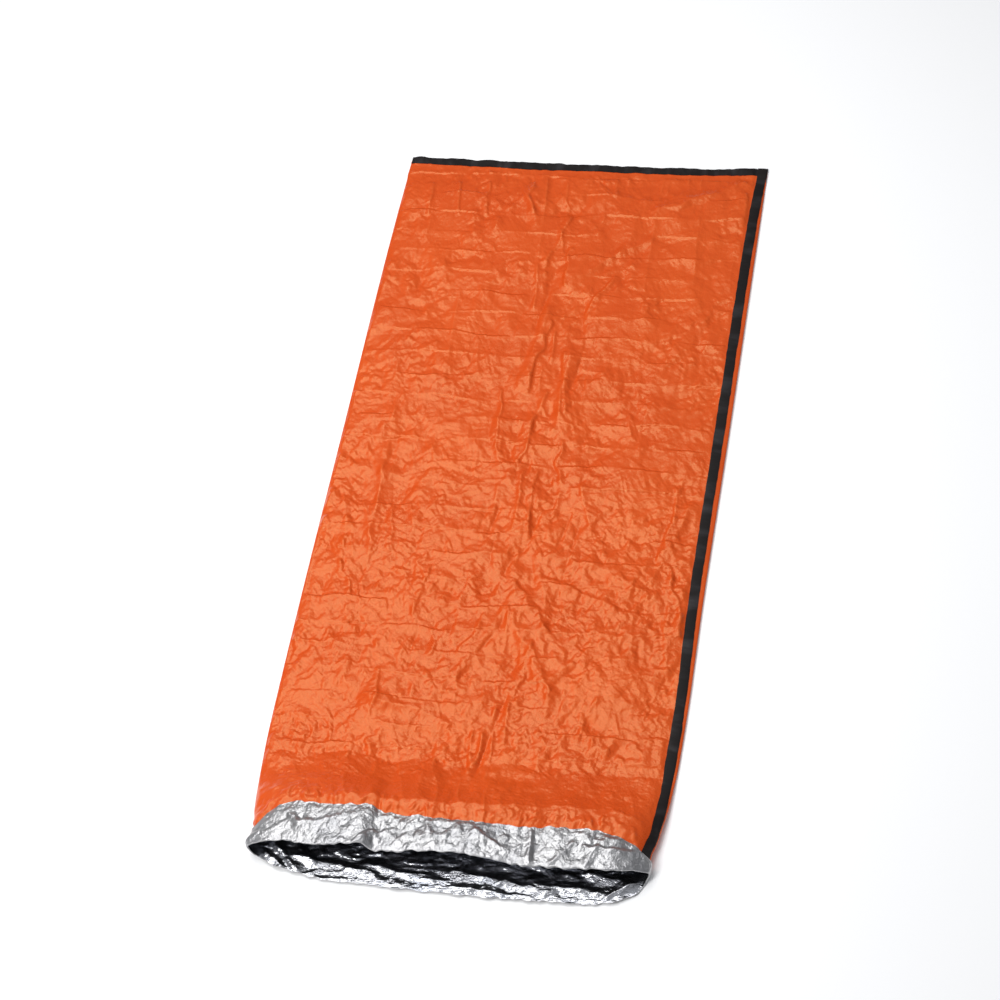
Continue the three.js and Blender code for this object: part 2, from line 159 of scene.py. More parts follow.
# How far the two sides lie in from the half width, then the strip of film outside the side's tape, and the
# tape's width.
EDGES = table(
    "y left_in right_in strip tape",
    (-1065, 42, 37, 2, 22),
    (-1005, 31, 29, 2, 23),
    (-988, 28, 29, 2, 21),
    (-967, 34, 29, 2, 19),
    (-942, 29, 28, 1.5, 16.5),
    (-903, 19, 20, 2, 16),
    (-830, 11, 10, 3, 20),
    (-780, 7, 6, 5, 20),
    (-700, 3, 2, 6, 23),
    (-540, 1, 0, 7, 22),
    (-270, 0, 2, 10, 22),
    (160, 1, 0, 10, 23),
    (620, 1, 0, 9, 23),
    (860, 3, 0, 7, 23),
    (1065, 7, 0, 1, 23),
)

# How each side turns from the lower layer to the upper one: its edge's radius, then its slope's reach.
TURNS = table(
    "y left_round right_round left_slope right_slope",
    (-1065, 24, 16, 70, 84),
    (-988, 24, 16, 70, 84),
    (-942, 22, 15, 66, 80),
    (-903, 18, 13, 60, 72),
    (-830, 11, 9, 50, 60),
    (-780, 7, 6, 36, 52),
    (-700, 5, 4, 26, 46),
    (-540, 4, 4, 22, 44),
    (620, 4, 4, 22, 44),
    (860, 3, 3, 20, 38),
    (1065, 1.2, 1.2, 12, 12),
)

# The two lips of the mouth: how far forward each reaches, and how high the upper one stands.
UPPER_LIP = table(
    "x y height",
    (-432, -999, 46),
    (-354, -1000, 62),
    (-278, -1009, 72),
    (-225, -1006, 80),
    (-178, -1003, 83),
    (-150, -1011, 71),
    (-60, -1007, 76),
    (23, -1003, 77),
    (149, -1013, 63),
    (213, -1013, 60),
    (333, -1005, 57),
    (395, -993, 50),
    (427, -984, 38),
)
LOWER_LIP = table(
    "x y",
    (-432, -999),
    (-405, -1011),
    (-379, -1026),
    (-330, -1040),
    (-271, -1050),
    (-99, -1059),
    (58, -1063),
    (184, -1063),
    (300, -1060),
    (353, -1052),
    (404, -1027),
    (427, -984),
)


def waver(seed: int, wave: float, reach: float) -> Curve:
    """A cut edge's small strays from its line, over x.

    Args:
        seed: sets them.
        wave: how far apart they are.
        reach: how far the edge strays to either side.

    Returns:
        The strays as a curve.
    """
    places = np.arange(-LIP_CORNER, LIP_CORNER + 1.0, wave)
    values = np.random.default_rng(seed).uniform(-reach, reach, len(places))
    values[[0, -1]] = 0.0
    return Curve(places, values)


# Small strays of the lips, of the cuff's rear edge and of the line where the film starts to rise. They end
# before the mouth's corners.
UPPER_WAVER = waver(61, 11.0, 2.6)
LOWER_WAVER = waver(62, 13.0, 2.6)
REAR_WAVER = waver(63, 12.0, 1.2)
RISE_WAVER = waver(64, 62.0, 10.0)

# The turned-back cuff is deepest in the middle and narrows round the two corners of the mouth.
CUFF_DEPTHS = table(
    "x depth",
    (-432, 34),
    (-407, 54),
    (-375, 86),
    (-320, 103),
    (-170, 100),
    (-90, 90),
    (20, 82),
    (100, 86),
    (200, 97),
    (250, 98),
    (320, 92),
    (370, 74),
    (409, 44),
    (430, 24),
)

# How much of the lip's height the upper layer has reached on its way to the mouth.
MOUTH_RISE = table(
    "y share",
    (-1014, 1),
    (-950, 0.92),
    (-905, 0.84),
    (-869, 0.76),
    (-830, 0.5),
    (-790, 0.22),
    (RISE_Y, 0),
)

# The crest of the film's bulge behind the cuff, by its place along the flat film.
BULGE = table(
    "x y height",
    (-400, -950, 1),
    (-330, -948, 3),
    (-170, -928, 5),
    (13, -908, 7),
    (200, -898, 7),
    (394, -890, 6),
)

# The foot edge, and the lengthwise fold that packing left down the middle.
FOOT_EDGE = table("x y", (-448, 1065), (-257, 1061), (-69, 1058), (84, 1058), (286, 1056), (455, 1064))
SPINE = table("y x", (-1065, 40), (-757, 44), (-300, 28), (66, 11), (496, -13), (1065, -28))


@dataclass(frozen=True)
class Puff:
    """A broad puff of air under the upper layer: its centre, half sizes and height."""

    x: float
    y: float
    along_x: float
    along_y: float
    height: float

    def at(self, x: Array, y: Array) -> Array:
        """The puff's height at places of the layer."""
        away = np.clip(np.hypot((x - self.x) / self.along_x, (y - self.y) / self.along_y), 0.0, 1.0)
        return self.height * (1.0 - away**2) ** 2


PUFFS = (
    Puff(-230, -560, 190, 190, 5),
    Puff(230, -480, 170, 260, 6),
    Puff(-150, -150, 220, 180, 3.5),
    Puff(250, 40, 150, 190, 4.5),
    Puff(-260, 330, 170, 210, 3),
    Puff(160, 520, 210, 170, 4.5),
    Puff(-90, 760, 260, 150, 3.5),
    Puff(300, 880, 130, 110, 3.5),
)


@dataclass(frozen=True)
class Fold:
    """A fold that stands up from the film, from one end to the other.

    lean is the share of its reach on the side that lies to the left when looking from its start to its end:
    0.5 is an even ridge, and a small one drops steeply on that side.
    """

    x0: float
    y0: float
    x1: float
    y1: float
    height: float
    reach: float
    lean: float = 0.5

    def at(self, x: Array, y: Array, wander: Array) -> Array:
        """The fold's height.

        Args:
            x: places across the bag.
            y: places along it.
            wander: how far the fold strays sideways there.

        Returns:
            The height at each place, which fades out at the fold's ends.
        """
        along_x, along_y = self.x1 - self.x0, self.y1 - self.y0
        length = math.hypot(along_x, along_y)
        along = ((x - self.x0) * along_x + (y - self.y0) * along_y) / length
        aside = ((y - self.y0) * along_x - (x - self.x0) * along_y) / length + wander
        reach = 2.0 * self.reach * np.where(aside > 0.0, self.lean, 1.0 - self.lean)
        past = np.maximum(0.0, np.maximum(-along, along - length)) / self.reach
        away = np.hypot(aside / reach, past)
        return np.where(away < 1.0, self.height * (1.0 - away) * (1.0 - away * away), 0.0)


# Long folds of the upper layer, which the solids have too.
LONG_FOLDS = (
    Fold(30, -330, 150, -560, 7, 34),
    Fold(90, -250, 118, -420, 4, 26),
    Fold(20, -350, -70, -560, 5, 30),
    Fold(150, -180, 330, -270, 5, 32),
    Fold(-330, 40, -322, -190, 4, 28),
    Fold(-250, -590, -60, -640, 4, 30),
    Fold(395, -20, 335, -230, 5, 28),
    Fold(380, -300, 392, -470, 4, 24),
    Fold(-20, 560, -40, 320, 4, 26),
    Fold(60, 430, 44, 190, 5, 28),
    Fold(60, 700, 190, 800, 4, 26),
    Fold(-210, 930, -195, 820, 3, 24),
    Fold(-130, 960, -105, 840, 3, 24),
    Fold(210, 900, 400, 1000, 4, 26),
    Fold(-90, 250, -60, 60, 4, 26),
    Fold(200, -600, 290, -690, 4, 28),
)

# Sharp tucks beside and between them.
TUCKS = (
    Fold(-380, 965, -363, 862, 2.6, 13, 0.25),
    Fold(-313, 968, -297, 868, 2.8, 13, 0.25),
    Fold(-237, 972, -218, 870, 3.4, 14, 0.25),
    Fold(-126, 978, -108, 880, 3.0, 14, 0.25),
    Fold(-40, 1000, -30, 900, 2.4, 12, 0.3),
    Fold(128, 669, 66, 558, 3.4, 14, 0.7),
    Fold(28, -261, 117, -381, 3.6, 18, 0.3),
    Fold(117, -381, 182, -474, 3.2, 18, 0.35),
    Fold(96, -248, 171, -275, 3.2, 14, 0.3),
    Fold(171, -275, 265, -318, 3.0, 16, 0.3),
    Fold(-379, -160, -373, -229, 2.8, 12, 0.3),
    Fold(-373, -229, -344, -314, 2.8, 12, 0.3),
    Fold(-288, -72, -273, -187, 2.6, 12, 0.3),
    Fold(-128, -401, -128, -466, 2.6, 12, 0.3),
    Fold(-31, -357, -64, -461, 3.4, 14, 0.7),
    Fold(-318, -645, -309, -710, 2.4, 12, 0.3),
    Fold(361, 30, 366, -55, 4.2, 15, 0.7),
    Fold(366, -55, 338, -165, 4.6, 16, 0.7),
    Fold(365, -194, 417, -374, 3.2, 14, 0.3),
    Fold(-12, 520, -30, 300, 3.6, 13, 0.3),
    Fold(40, 420, 60, 240, 3.4, 13, 0.7),
    Fold(8, 300, -14, 90, 3.6, 14, 0.3),
    Fold(70, 150, 92, -60, 3.4, 13, 0.7),
    Fold(20, 60, 38, -150, 3.2, 13, 0.3),
    Fold(-96, 300, -76, 120, 3.0, 13, 0.25),
    Fold(-18, 860, -44, 700, 3.0, 13, 0.3),
    Fold(0, 760, 6, 640, 2.8, 12, 0.7),
    Fold(92, -420, 70, -600, 3.2, 14, 0.3),
    Fold(140, 30, 180, -110, 2.6, 13, 0.7),
    Fold(-170, -230, -190, -360, 2.6, 12, 0.3),
    Fold(-236, -520, -228, -640, 2.6, 12, 0.3),
    Fold(250, -560, 232, -660, 2.8, 12, 0.7),
)

# Folds of the silver cuff: x and depth from the lip stand in the places of x and y.
CUFF_FOLDS = (
    Fold(174, 82, 183, 8, 5.5, 13, 0.4),
    Fold(-184, 2, -160, 34, 7.0, 20, 0.2),
    Fold(-160, 34, -118, 50, 3.5, 18, 0.3),
    Fold(-318, 44, -246, 66, 5.0, 26, 0.25),
    Fold(-352, 66, -300, 28, 4.5, 20, 0.7),
    Fold(300, 48, 392, 40, 5.0, 24, 0.25),
    Fold(336, 74, 300, 20, 4.0, 18, 0.6),
    Fold(60, 60, 128, 22, 4.0, 20, 0.3),
    Fold(-60, 30, 20, 44, 3.5, 20, 0.7),
    Fold(-396, 8, -352, 40, 4.0, 18, 0.3),
    Fold(230, 10, 262, 60, 3.6, 16, 0.4),
    Fold(-20, 12, -44, 70, 3.2, 16, 0.4),
)

# Folds of the lower layer inside the mouth, where it lies bare in front of the upper lip.
INNER_FOLDS = (
    Fold(-412, -985, -352, -1028, 7, 16, 0.3),
    Fold(-398, -960, -318, -1036, 6, 18, 0.7),
    Fold(-378, -930, -286, -1010, 5, 18, 0.3),
    Fold(-330, -1000, -150, -1032, 4, 16, 0.4),
    Fold(-180, -1010, 60, -1046, 4.5, 16, 0.5),
    Fold(20, -1006, 230, -1040, 4.0, 16, 0.4),
    Fold(180, -1024, 330, -1034, 4.5, 16, 0.6),
    Fold(300, -990, 396, -1008, 6, 18, 0.4),
    Fold(346, -1040, 404, -1000, 6, 16, 0.6),
    Fold(-40, -1052, 190, -1054, 3.0, 12, 0.5),
)


def soft_noise(rng: np.random.Generator, x: Array, y: Array, wave_x: float, wave_y: float) -> Array:
    """A smooth scatter over places.

    Args:
        rng: the seeded source of its values.
        x: places across.
        y: places along, of the same shape.
        wave_x: the size of its patches across.
        wave_y: their size along.

    Returns:
        A value from 0 to 1 at each place.
    """
    u, v = (x - x.min()) / wave_x, (y - y.min()) / wave_y
    i, j = u.astype(int), v.astype(int)
    lattice = rng.random((int(j.max()) + 2, int(i.max()) + 2))
    across, along = u - i, v - j
    across = across * across * (3.0 - 2.0 * across)
    along = along * along * (3.0 - 2.0 * along)
    near = lerp(lattice[j, i], lattice[j, i + 1], across)
    far = lerp(lattice[j + 1, i], lattice[j + 1, i + 1], across)
    return lerp(near, far, along)


def ridged(scatter: Array, sharpness: float) -> Array:
    """Turns a smooth scatter into thin ridges where it passes its middle."""
    return (1.0 - np.abs(2.0 * scatter - 1.0)) ** sharpness


def grid_faces(ids: Array, flip: bool) -> Array:
    """Four-cornered faces of a grid.

    Args:
        ids: the grid's point numbers.
        flip: whether the faces are turned over.

    Returns:
        The faces, four corners each.
    """
    near, left, far, right = ids[:-1, :-1], ids[1:, :-1], ids[1:, 1:], ids[:-1, 1:]
    corners = (near, right, far, left) if flip else (near, left, far, right)
    return np.stack(corners, axis=-1).reshape(-1, 4)


def fill_triangles(shape: tuple[int, int], x: Array, y: Array, tops: Array, faces: Array) -> Array:
    """Fills flat triangles between raised corners over a grid.

    Args:
        shape: the grid's rows and columns.
        x: each corner's place across, counted in columns.
        y: its place along, counted in rows.
        tops: its height.
        faces: three corners a triangle.

    Returns:
        The height of the triangle over each place of the grid.
    """
    rows, columns = shape
    ax, bx, cx = (x[faces[:, k]] for k in range(3))
    ay, by, cy = (y[faces[:, k]] for k in range(3))
    low_x = np.clip(np.floor(np.minimum(np.minimum(ax, bx), cx)), 0, columns - 1).astype(int)
    high_x = np.clip(np.ceil(np.maximum(np.maximum(ax, bx), cx)), 0, columns - 1).astype(int)
    low_y = np.clip(np.floor(np.minimum(np.minimum(ay, by), cy)), 0, rows - 1).astype(int)
    high_y = np.clip(np.ceil(np.maximum(np.maximum(ay, by), cy)), 0, rows - 1).astype(int)
    wide = high_x - low_x + 1
    counts = wide * (high_y - low_y + 1)
    owner = np.repeat(np.arange(len(faces)), counts)
    step = np.arange(counts.sum()) - np.repeat(np.cumsum(counts) - counts, counts)
    px, py = low_x[owner] + step % wide[owner], low_y[owner] + step // wide[owner]
    area = (bx - ax) * (cy - ay) - (cx - ax) * (by - ay)
    area = np.where(np.abs(area) < 1e-9, 1e-9, area)
    from_x, from_y = px - ax[owner], py - ay[owner]
    to_b = (from_x * (cy - ay)[owner] - from_y * (cx - ax)[owner]) / area[owner]
    to_c = (from_y * (bx - ax)[owner] - from_x * (by - ay)[owner]) / area[owner]
    within = (to_b >= -1e-6) & (to_c >= -1e-6) & (to_b + to_c <= 1.000001)
    top_a, top_b, top_c = (tops[faces[:, k]][owner] for k in range(3))
    made = np.zeros(shape)
    level = top_a + (top_b - top_a) * to_b + (top_c - top_a) * to_c
    made[py[within], px[within]] = level[within]
    return made


@dataclass
class Relief:
    """Heights over the flat film on an even grid, in millimetres, which crumples are added to."""

    x_from: float
    x_to: float
    y_from: float
    y_to: float
    pitch: float
    seed: int
    rng: np.random.Generator = field(init=False)
    x: Array = field(init=False)
    y: Array = field(init=False)
    heights: Array = field(init=False)

    def __post_init__(self) -> None:
        """Lays out the grid."""
        self.rng = np.random.default_rng(self.seed)
        across = np.arange(self.x_from, self.x_to + self.pitch, self.pitch)
        along = np.arange(self.y_from, self.y_to + self.pitch, self.pitch)
        self.x, self.y = np.meshgrid(across, along)
        self.heights = np.zeros_like(self.x)

    def noise(self, wave_x: float, wave_y: float, turn: float = 0.0, warp: float = 0.0) -> Array:
        """A smooth scatter over the grid.

        Args:
            wave_x: the size of its patches across.
            wave_y: their size along.
            turn: how far the patches are turned, in degrees.
            warp: how far they are bent out of line, in millimetres.

        Returns:
            A value from 0 to 1 at each place of the grid.
        """
        if not warp and not turn:
            return self._straight_noise(wave_x, wave_y)
        x, y = self.x, self.y
        if warp:
            bend_x = self._straight_noise(2.3 * wave_x, 2.3 * wave_y)
            bend_y = self._straight_noise(2.1 * wave_x, 2.1 * wave_y)
            x, y = x + warp * (bend_x - 0.5), y + warp * (bend_y - 0.5)
        if turn:
            c, s = math.cos(math.radians(turn)), math.sin(math.radians(turn))
            x, y = c * x + s * y, c * y - s * x
        return soft_noise(self.rng, x, y, wave_x, wave_y)

    def _straight_noise(self, wave_x: float, wave_y: float) -> Array:
        """The same scatter where its patches stand square to the grid, one axis after the other.

        Args:
            wave_x: the size of its patches across.
            wave_y: their size along.

        Returns:
            A value from 0 to 1 at each place of the grid.
        """
        u, v = (self.x[0] - self.x_from) / wave_x, (self.y[:, 0] - self.y_from) / wave_y
        i, j = u.astype(int), v.astype(int)
        lattice = self.rng.random((j[-1] + 2, i[-1] + 2))
        across = lerp(lattice[:, i], lattice[:, i + 1], smoothstep(u - i, 0.0, 1.0))
        return lerp(across[j], across[j + 1], smoothstep(v - j, 0.0, 1.0)[:, None])

    def facets(self, size_x: float, size_y: float, turn: float = 0.0, warp: float = 0.0) -> Array:
        """Flat facets that meet in sharp creases, as crumpled film has them.

        Args:
            size_x: the facets' size across.
            size_y: their size along.
            turn: how far their net is turned, in degrees.
            warp: how far the creases are bent out of line, in millimetres.

        Returns:
            A height from -1 to 1 at each place of the grid.
        """
        c, s = math.cos(math.radians(turn)), math.sin(math.radians(turn))
        u, v = (c * self.x + s * self.y) / size_x, (c * self.y - s * self.x) / size_y
        rows, columns = int(v.max() - v.min()) + 5, int(u.max() - u.min()) + 6
        corner_v, corner_u = np.mgrid[0:rows, 0:columns].astype(float)
        corner_u += 0.5 * (corner_v % 2) + 0.74 * (self.rng.random(corner_u.shape) - 0.5) + u.min() - 2.5
        corner_v += 0.74 * (self.rng.random(corner_v.shape) - 0.5) + v.min() - 2.0
        columns_at = ((c * corner_u * size_x - s * corner_v * size_y - self.x_from) / self.pitch).ravel()
        rows_at = ((s * corner_u * size_x + c * corner_v * size_y - self.y_from) / self.pitch).ravel()
        cells = grid_faces(np.arange(rows * columns).reshape(rows, columns), False)
        near, left, far, right = cells.T
        short = np.hypot(columns_at[near] - columns_at[far], rows_at[near] - rows_at[far]) < np.hypot(
            columns_at[left] - columns_at[right], rows_at[left] - rows_at[right]
        )
        halves = np.where(short[:, None], cells[:, [0, 1, 2, 0, 2, 3]], cells[:, [0, 1, 3, 1, 2, 3]])
        tops = self.rng.uniform(-1.0, 1.0, rows * columns)
        made = fill_triangles(self.x.shape, columns_at, rows_at, tops, halves.reshape(-1, 3))
        if not warp:
            return made
        away_x = warp * (self.noise(1.3 * size_x, 1.3 * size_x) - 0.5)
        away_y = warp * (self.noise(1.1 * size_x, 1.1 * size_x) - 0.5)
        return self.like(made).at(self.x + away_x, self.y + away_y)

    def add(self, height: Array) -> None:
        """Adds heights to the relief."""
        self.heights = self.heights + height

    def add_folds(self, folds: tuple[Fold, ...], wander: float) -> None:
        """Adds folds, each where it lies.

        Args:
            folds: the folds.
            wander: how far they stray from their straight lines, in millimetres.
        """
        stray = wander * (self.noise(38.0, 38.0, warp=10.0) - 0.5)
        for fold in folds:
            margin = 2.0 * fold.reach + wander
            near = (
                (self.x > min(fold.x0, fold.x1) - margin)
                & (self.x < max(fold.x0, fold.x1) + margin)
                & (self.y > min(fold.y0, fold.y1) - margin)
                & (self.y < max(fold.y0, fold.y1) + margin)
            )
            self.heights[near] += fold.at(self.x[near], self.y[near], stray[near])

    def lowest(self, reach: float) -> "Relief":
        """A relief of the lowest height within a reach of each place.

        Args:
            reach: how far round each place is looked at, in millimetres.

        Returns:
            The relief.
        """
        steps = int(math.ceil(reach / self.pitch))
        low = self.heights
        for axis in (0, 1):
            pad = [(steps, steps) if k == axis else (0, 0) for k in (0, 1)]
            padded = np.pad(low, pad, mode="edge")
            count = low.shape[axis]
            moved = [np.take(padded, np.arange(k, k + count), axis=axis) for k in range(2 * steps + 1)]
            low = np.min(moved, axis=0)
        return self.like(low)

    def like(self, heights: Array) -> "Relief":
        """A relief on the same grid with other heights.

        Args:
            heights: its heights.

        Returns:
            The relief.
        """
        made = Relief(self.x_from, self.x_to, self.y_from, self.y_to, self.pitch, self.seed)
        made.heights = heights
        return made

    def bend(self) -> "Relief":
        """How sharply the relief turns.

        Returns:
            A relief that is above 0 on ridges and below 0 in valleys, from -1 to 1.
        """
        h = np.pad(self.heights, 1, mode="edge")
        turn = 4.0 * h[1:-1, 1:-1] - h[:-2, 1:-1] - h[2:, 1:-1] - h[1:-1, :-2] - h[1:-1, 2:]
        return self.like(np.clip(turn / SHARP_TURN, -1.0, 1.0))

    def at(self, x: Array, y: Array) -> Array:
        """Reads the relief.

        Args:
            x: places across the bag.
            y: places along the film, of the same shape.

        Returns:
            The heights there.
        """
        rows, columns = self.heights.shape
        u = np.clip((x - self.x_from) / self.pitch, 0.0, columns - 1.001)
        v = np.clip((y - self.y_from) / self.pitch, 0.0, rows - 1.001)
        i, j = u.astype(int), v.astype(int)
        across, along = u - i, v - j
        near = lerp(self.heights[j, i], self.heights[j, i + 1], across)
        far = lerp(self.heights[j + 1, i], self.heights[j + 1, i + 1], across)
        return lerp(near, far, along)


@dataclass(frozen=True)
class Sides:
    """The bag's two sides at places along the film, and where the side's tape lies."""

    left: Array
    left_round: Array
    left_slope: Array
    right: Array
    right_round: Array
    right_slope: Array
    tape_in: Array
    tape_out: Array


def drawn_y(y: Array, reach: Array, depth: Array) -> Array:
    """Where a point of the flat film has come to lie.

    Args:
        y: its place along the flat film.
        reach: how far forward the lip reaches there.
        depth: the cuff's depth there.

    Returns:
        Its place along the bag.
    """
    share = 1.0 - smoothstep(y, CUFF_Y, RISE_Y)
    on_cuff = reach + (y - LIP_Y) * depth / CUFF_DEPTH
    return np.where(y <= CUFF_Y, on_cuff, y + share * (reach - LIP_Y + depth - CUFF_DEPTH))


def sides_at(y: Array) -> Sides:
    """The bag's sides at places along the film.

    Args:
        y: the places along the flat film.

    Returns:
        The two sides and the tape's two edges there.
    """
    left_y = drawn_y(y, UPPER_LIP["y"].values[0], CUFF_DEPTHS["depth"].values[0])
    right_y = drawn_y(y, UPPER_LIP["y"].values[-1], CUFF_DEPTHS["depth"].values[-1])
    right = HALF_WIDTH - EDGES["right_in"](right_y)
    tape_out = right - EDGES["strip"](right_y)
    return Sides(
        left=EDGES["left_in"](left_y) - HALF_WIDTH,
        left_round=TURNS["left_round"](left_y),
        left_slope=TURNS["left_slope"](left_y),
        right=right,
        right_round=TURNS["right_round"](right_y),
        right_slope=TURNS["right_slope"](right_y),
        tape_in=tape_out - EDGES["tape"](right_y),
        tape_out=tape_out,
    )


def floor_level(y: Array) -> Array:
    """The level of the lower layer's outside.

    Args:
        y: places along the flat film.

    Returns:
        Its height over the floor: on the cuff turned under it, on the floor, or on the foot's tape.
    """
    on_cuff = 1.0 - smoothstep(y, CUFF_Y + OFF_CUFF[0], CUFF_Y + OFF_CUFF[1])
    return CUFF_LEVEL * on_cuff + SEAM_LEVEL * smoothstep(y, FOOT_SLOPE_Y, FOOT_SEAM_Y)


def upper_form(x: Array, y: Array) -> Array:
    """The outside of the upper layer without its creases.

    Args:
        x: places across the bag.
        y: places along the flat film, of the same shape.

    Returns:
        A point for each place.
    """
    sides = sides_at(y)
    place_y = drawn_y(y, UPPER_LIP["y"](x) + UPPER_WAVER(x), CUFF_DEPTHS["depth"](x) + REAR_WAVER(x))
    on_left = x < SPINE["x"](y)
    away = np.where(on_left, (x - sides.left) / sides.left_slope, (sides.right - x) / sides.right_slope)
    turn = np.sqrt(1.0 - (1.0 - np.clip(away, 0.0, 1.0)) ** 2)
    edge = floor_level(y) + np.where(on_left, sides.left_round, sides.right_round)
    puffed = BODY_HEIGHT + sum(puff.at(x, y) for puff in PUFFS)
    body = lerp(puffed, SEAM_TOP, smoothstep(y, FOOT_SLOPE_Y - FOOT_TAPER, FOOT_SEAM_Y))
    rise_y = place_y + RISE_WAVER(x) * smoothstep(place_y, -890.0, -820.0)
    crown = lerp(body, UPPER_LIP["height"](x) - CUFF_LEVEL, MOUTH_RISE["share"](rise_y))
    return np.stack([x, place_y, lerp(edge, crown, turn)], axis=-1)


def lower_form(x: Array, y: Array, lift: Array) -> Array:
    """The outside of the lower layer without its creases.

    Args:
        x: places across the bag.
        y: places along the flat film, of the same shape.
        lift: how far it is raised, where it turns up to a side.

    Returns:
        A point for each place.
    """
    place_y = drawn_y(y, LOWER_LIP["y"](x) + LOWER_WAVER(x), CUFF_DEPTHS["depth"](x))
    return np.stack([x, place_y, floor_level(y) + lift], axis=-1)


def unit(vectors: Array) -> Array:
    """Vectors of length one."""
    return vectors / np.maximum(np.linalg.norm(vectors, axis=-1, keepdims=True), 1e-12)


@dataclass(frozen=True)
class Columns:
    """How many steps each stretch of a ring has, from the bag's left edge over the top and back below."""

    left_turn: int = 12
    over: int = 304
    right_turn: int = 24
    right_round: int = 4
    under: int = 252
    left_round: int = 4

    @property
    def upper(self) -> int:
        """The steps over the upper layer."""
        return self.left_turn + self.over + self.right_turn

    def form(self, places: Array) -> Array:
        """The film's outside without its creases.

        Args:
            places: the rings' places along the flat film.

        Returns:
            A ring of points for each place.
        """
        y = places[:, None]
        sides = sides_at(y)
        quarter = math.pi / 2
        left = np.linspace(0.0, quarter, self.left_turn + 1)
        right = np.linspace(quarter, 0.0, self.right_turn + 1)
        over_left = sides.left + sides.left_slope * (1.0 - np.cos(left))
        over_right = sides.right - sides.right_slope * (1.0 - np.cos(right))
        between = np.linspace(0.0, 1.0, self.over + 1)[1:-1]
        over = lerp(over_left[:, -1:], over_right[:, :1], between)
        x = np.concatenate([over_left, over, over_right], axis=1)
        upper = upper_form(x, np.broadcast_to(y, x.shape))
        down = np.linspace(0.0, quarter, self.right_round + 1)[1:]
        up = np.linspace(quarter, 0.0, self.left_round + 1)[1:-1]
        under_right = sides.right - sides.right_round * (1.0 - np.cos(down))
        under_left = sides.left + sides.left_round * (1.0 - np.cos(up))
        floor_left = sides.left + sides.left_round
        under = lerp(under_right[:, -1:], floor_left, np.linspace(0.0, 1.0, self.under + 1)[1:])
        low_x = np.concatenate([under_right, under, under_left], axis=1)
        lift = np.concatenate(
            [
                sides.right_round * (1.0 - np.sin(down)),
                np.zeros_like(under),
                sides.left_round * (1.0 - np.sin(up)),
            ],
            axis=1,
        )
        return np.concatenate([upper, lower_form(low_x, np.broadcast_to(y, low_x.shape), lift)], axis=1)

    def outwards(self, places: Array) -> Array:
        """The way straight out of the film.

        Args:
            places: the rings' places along the flat film.

        Returns:
            A direction for each point of the rings.
        """
        along = self.form(places - 1.0) - self.form(places + 1.0)
        ring = self.form(places)
        around = np.roll(ring, -1, axis=1) - np.roll(ring, 1, axis=1)
        return unit(np.cross(along, around))


def rings_normals(rings: Array) -> Array:
    """Normals of closed rings.

    Args:
        rings: the rings, one after the other towards the mouth.

    Returns:
        The normals on their outer side.
    """
    along = np.gradient(rings, axis=0)
    around = np.roll(rings, -1, axis=1) - np.roll(rings, 1, axis=1)
    return unit(np.cross(along, around))


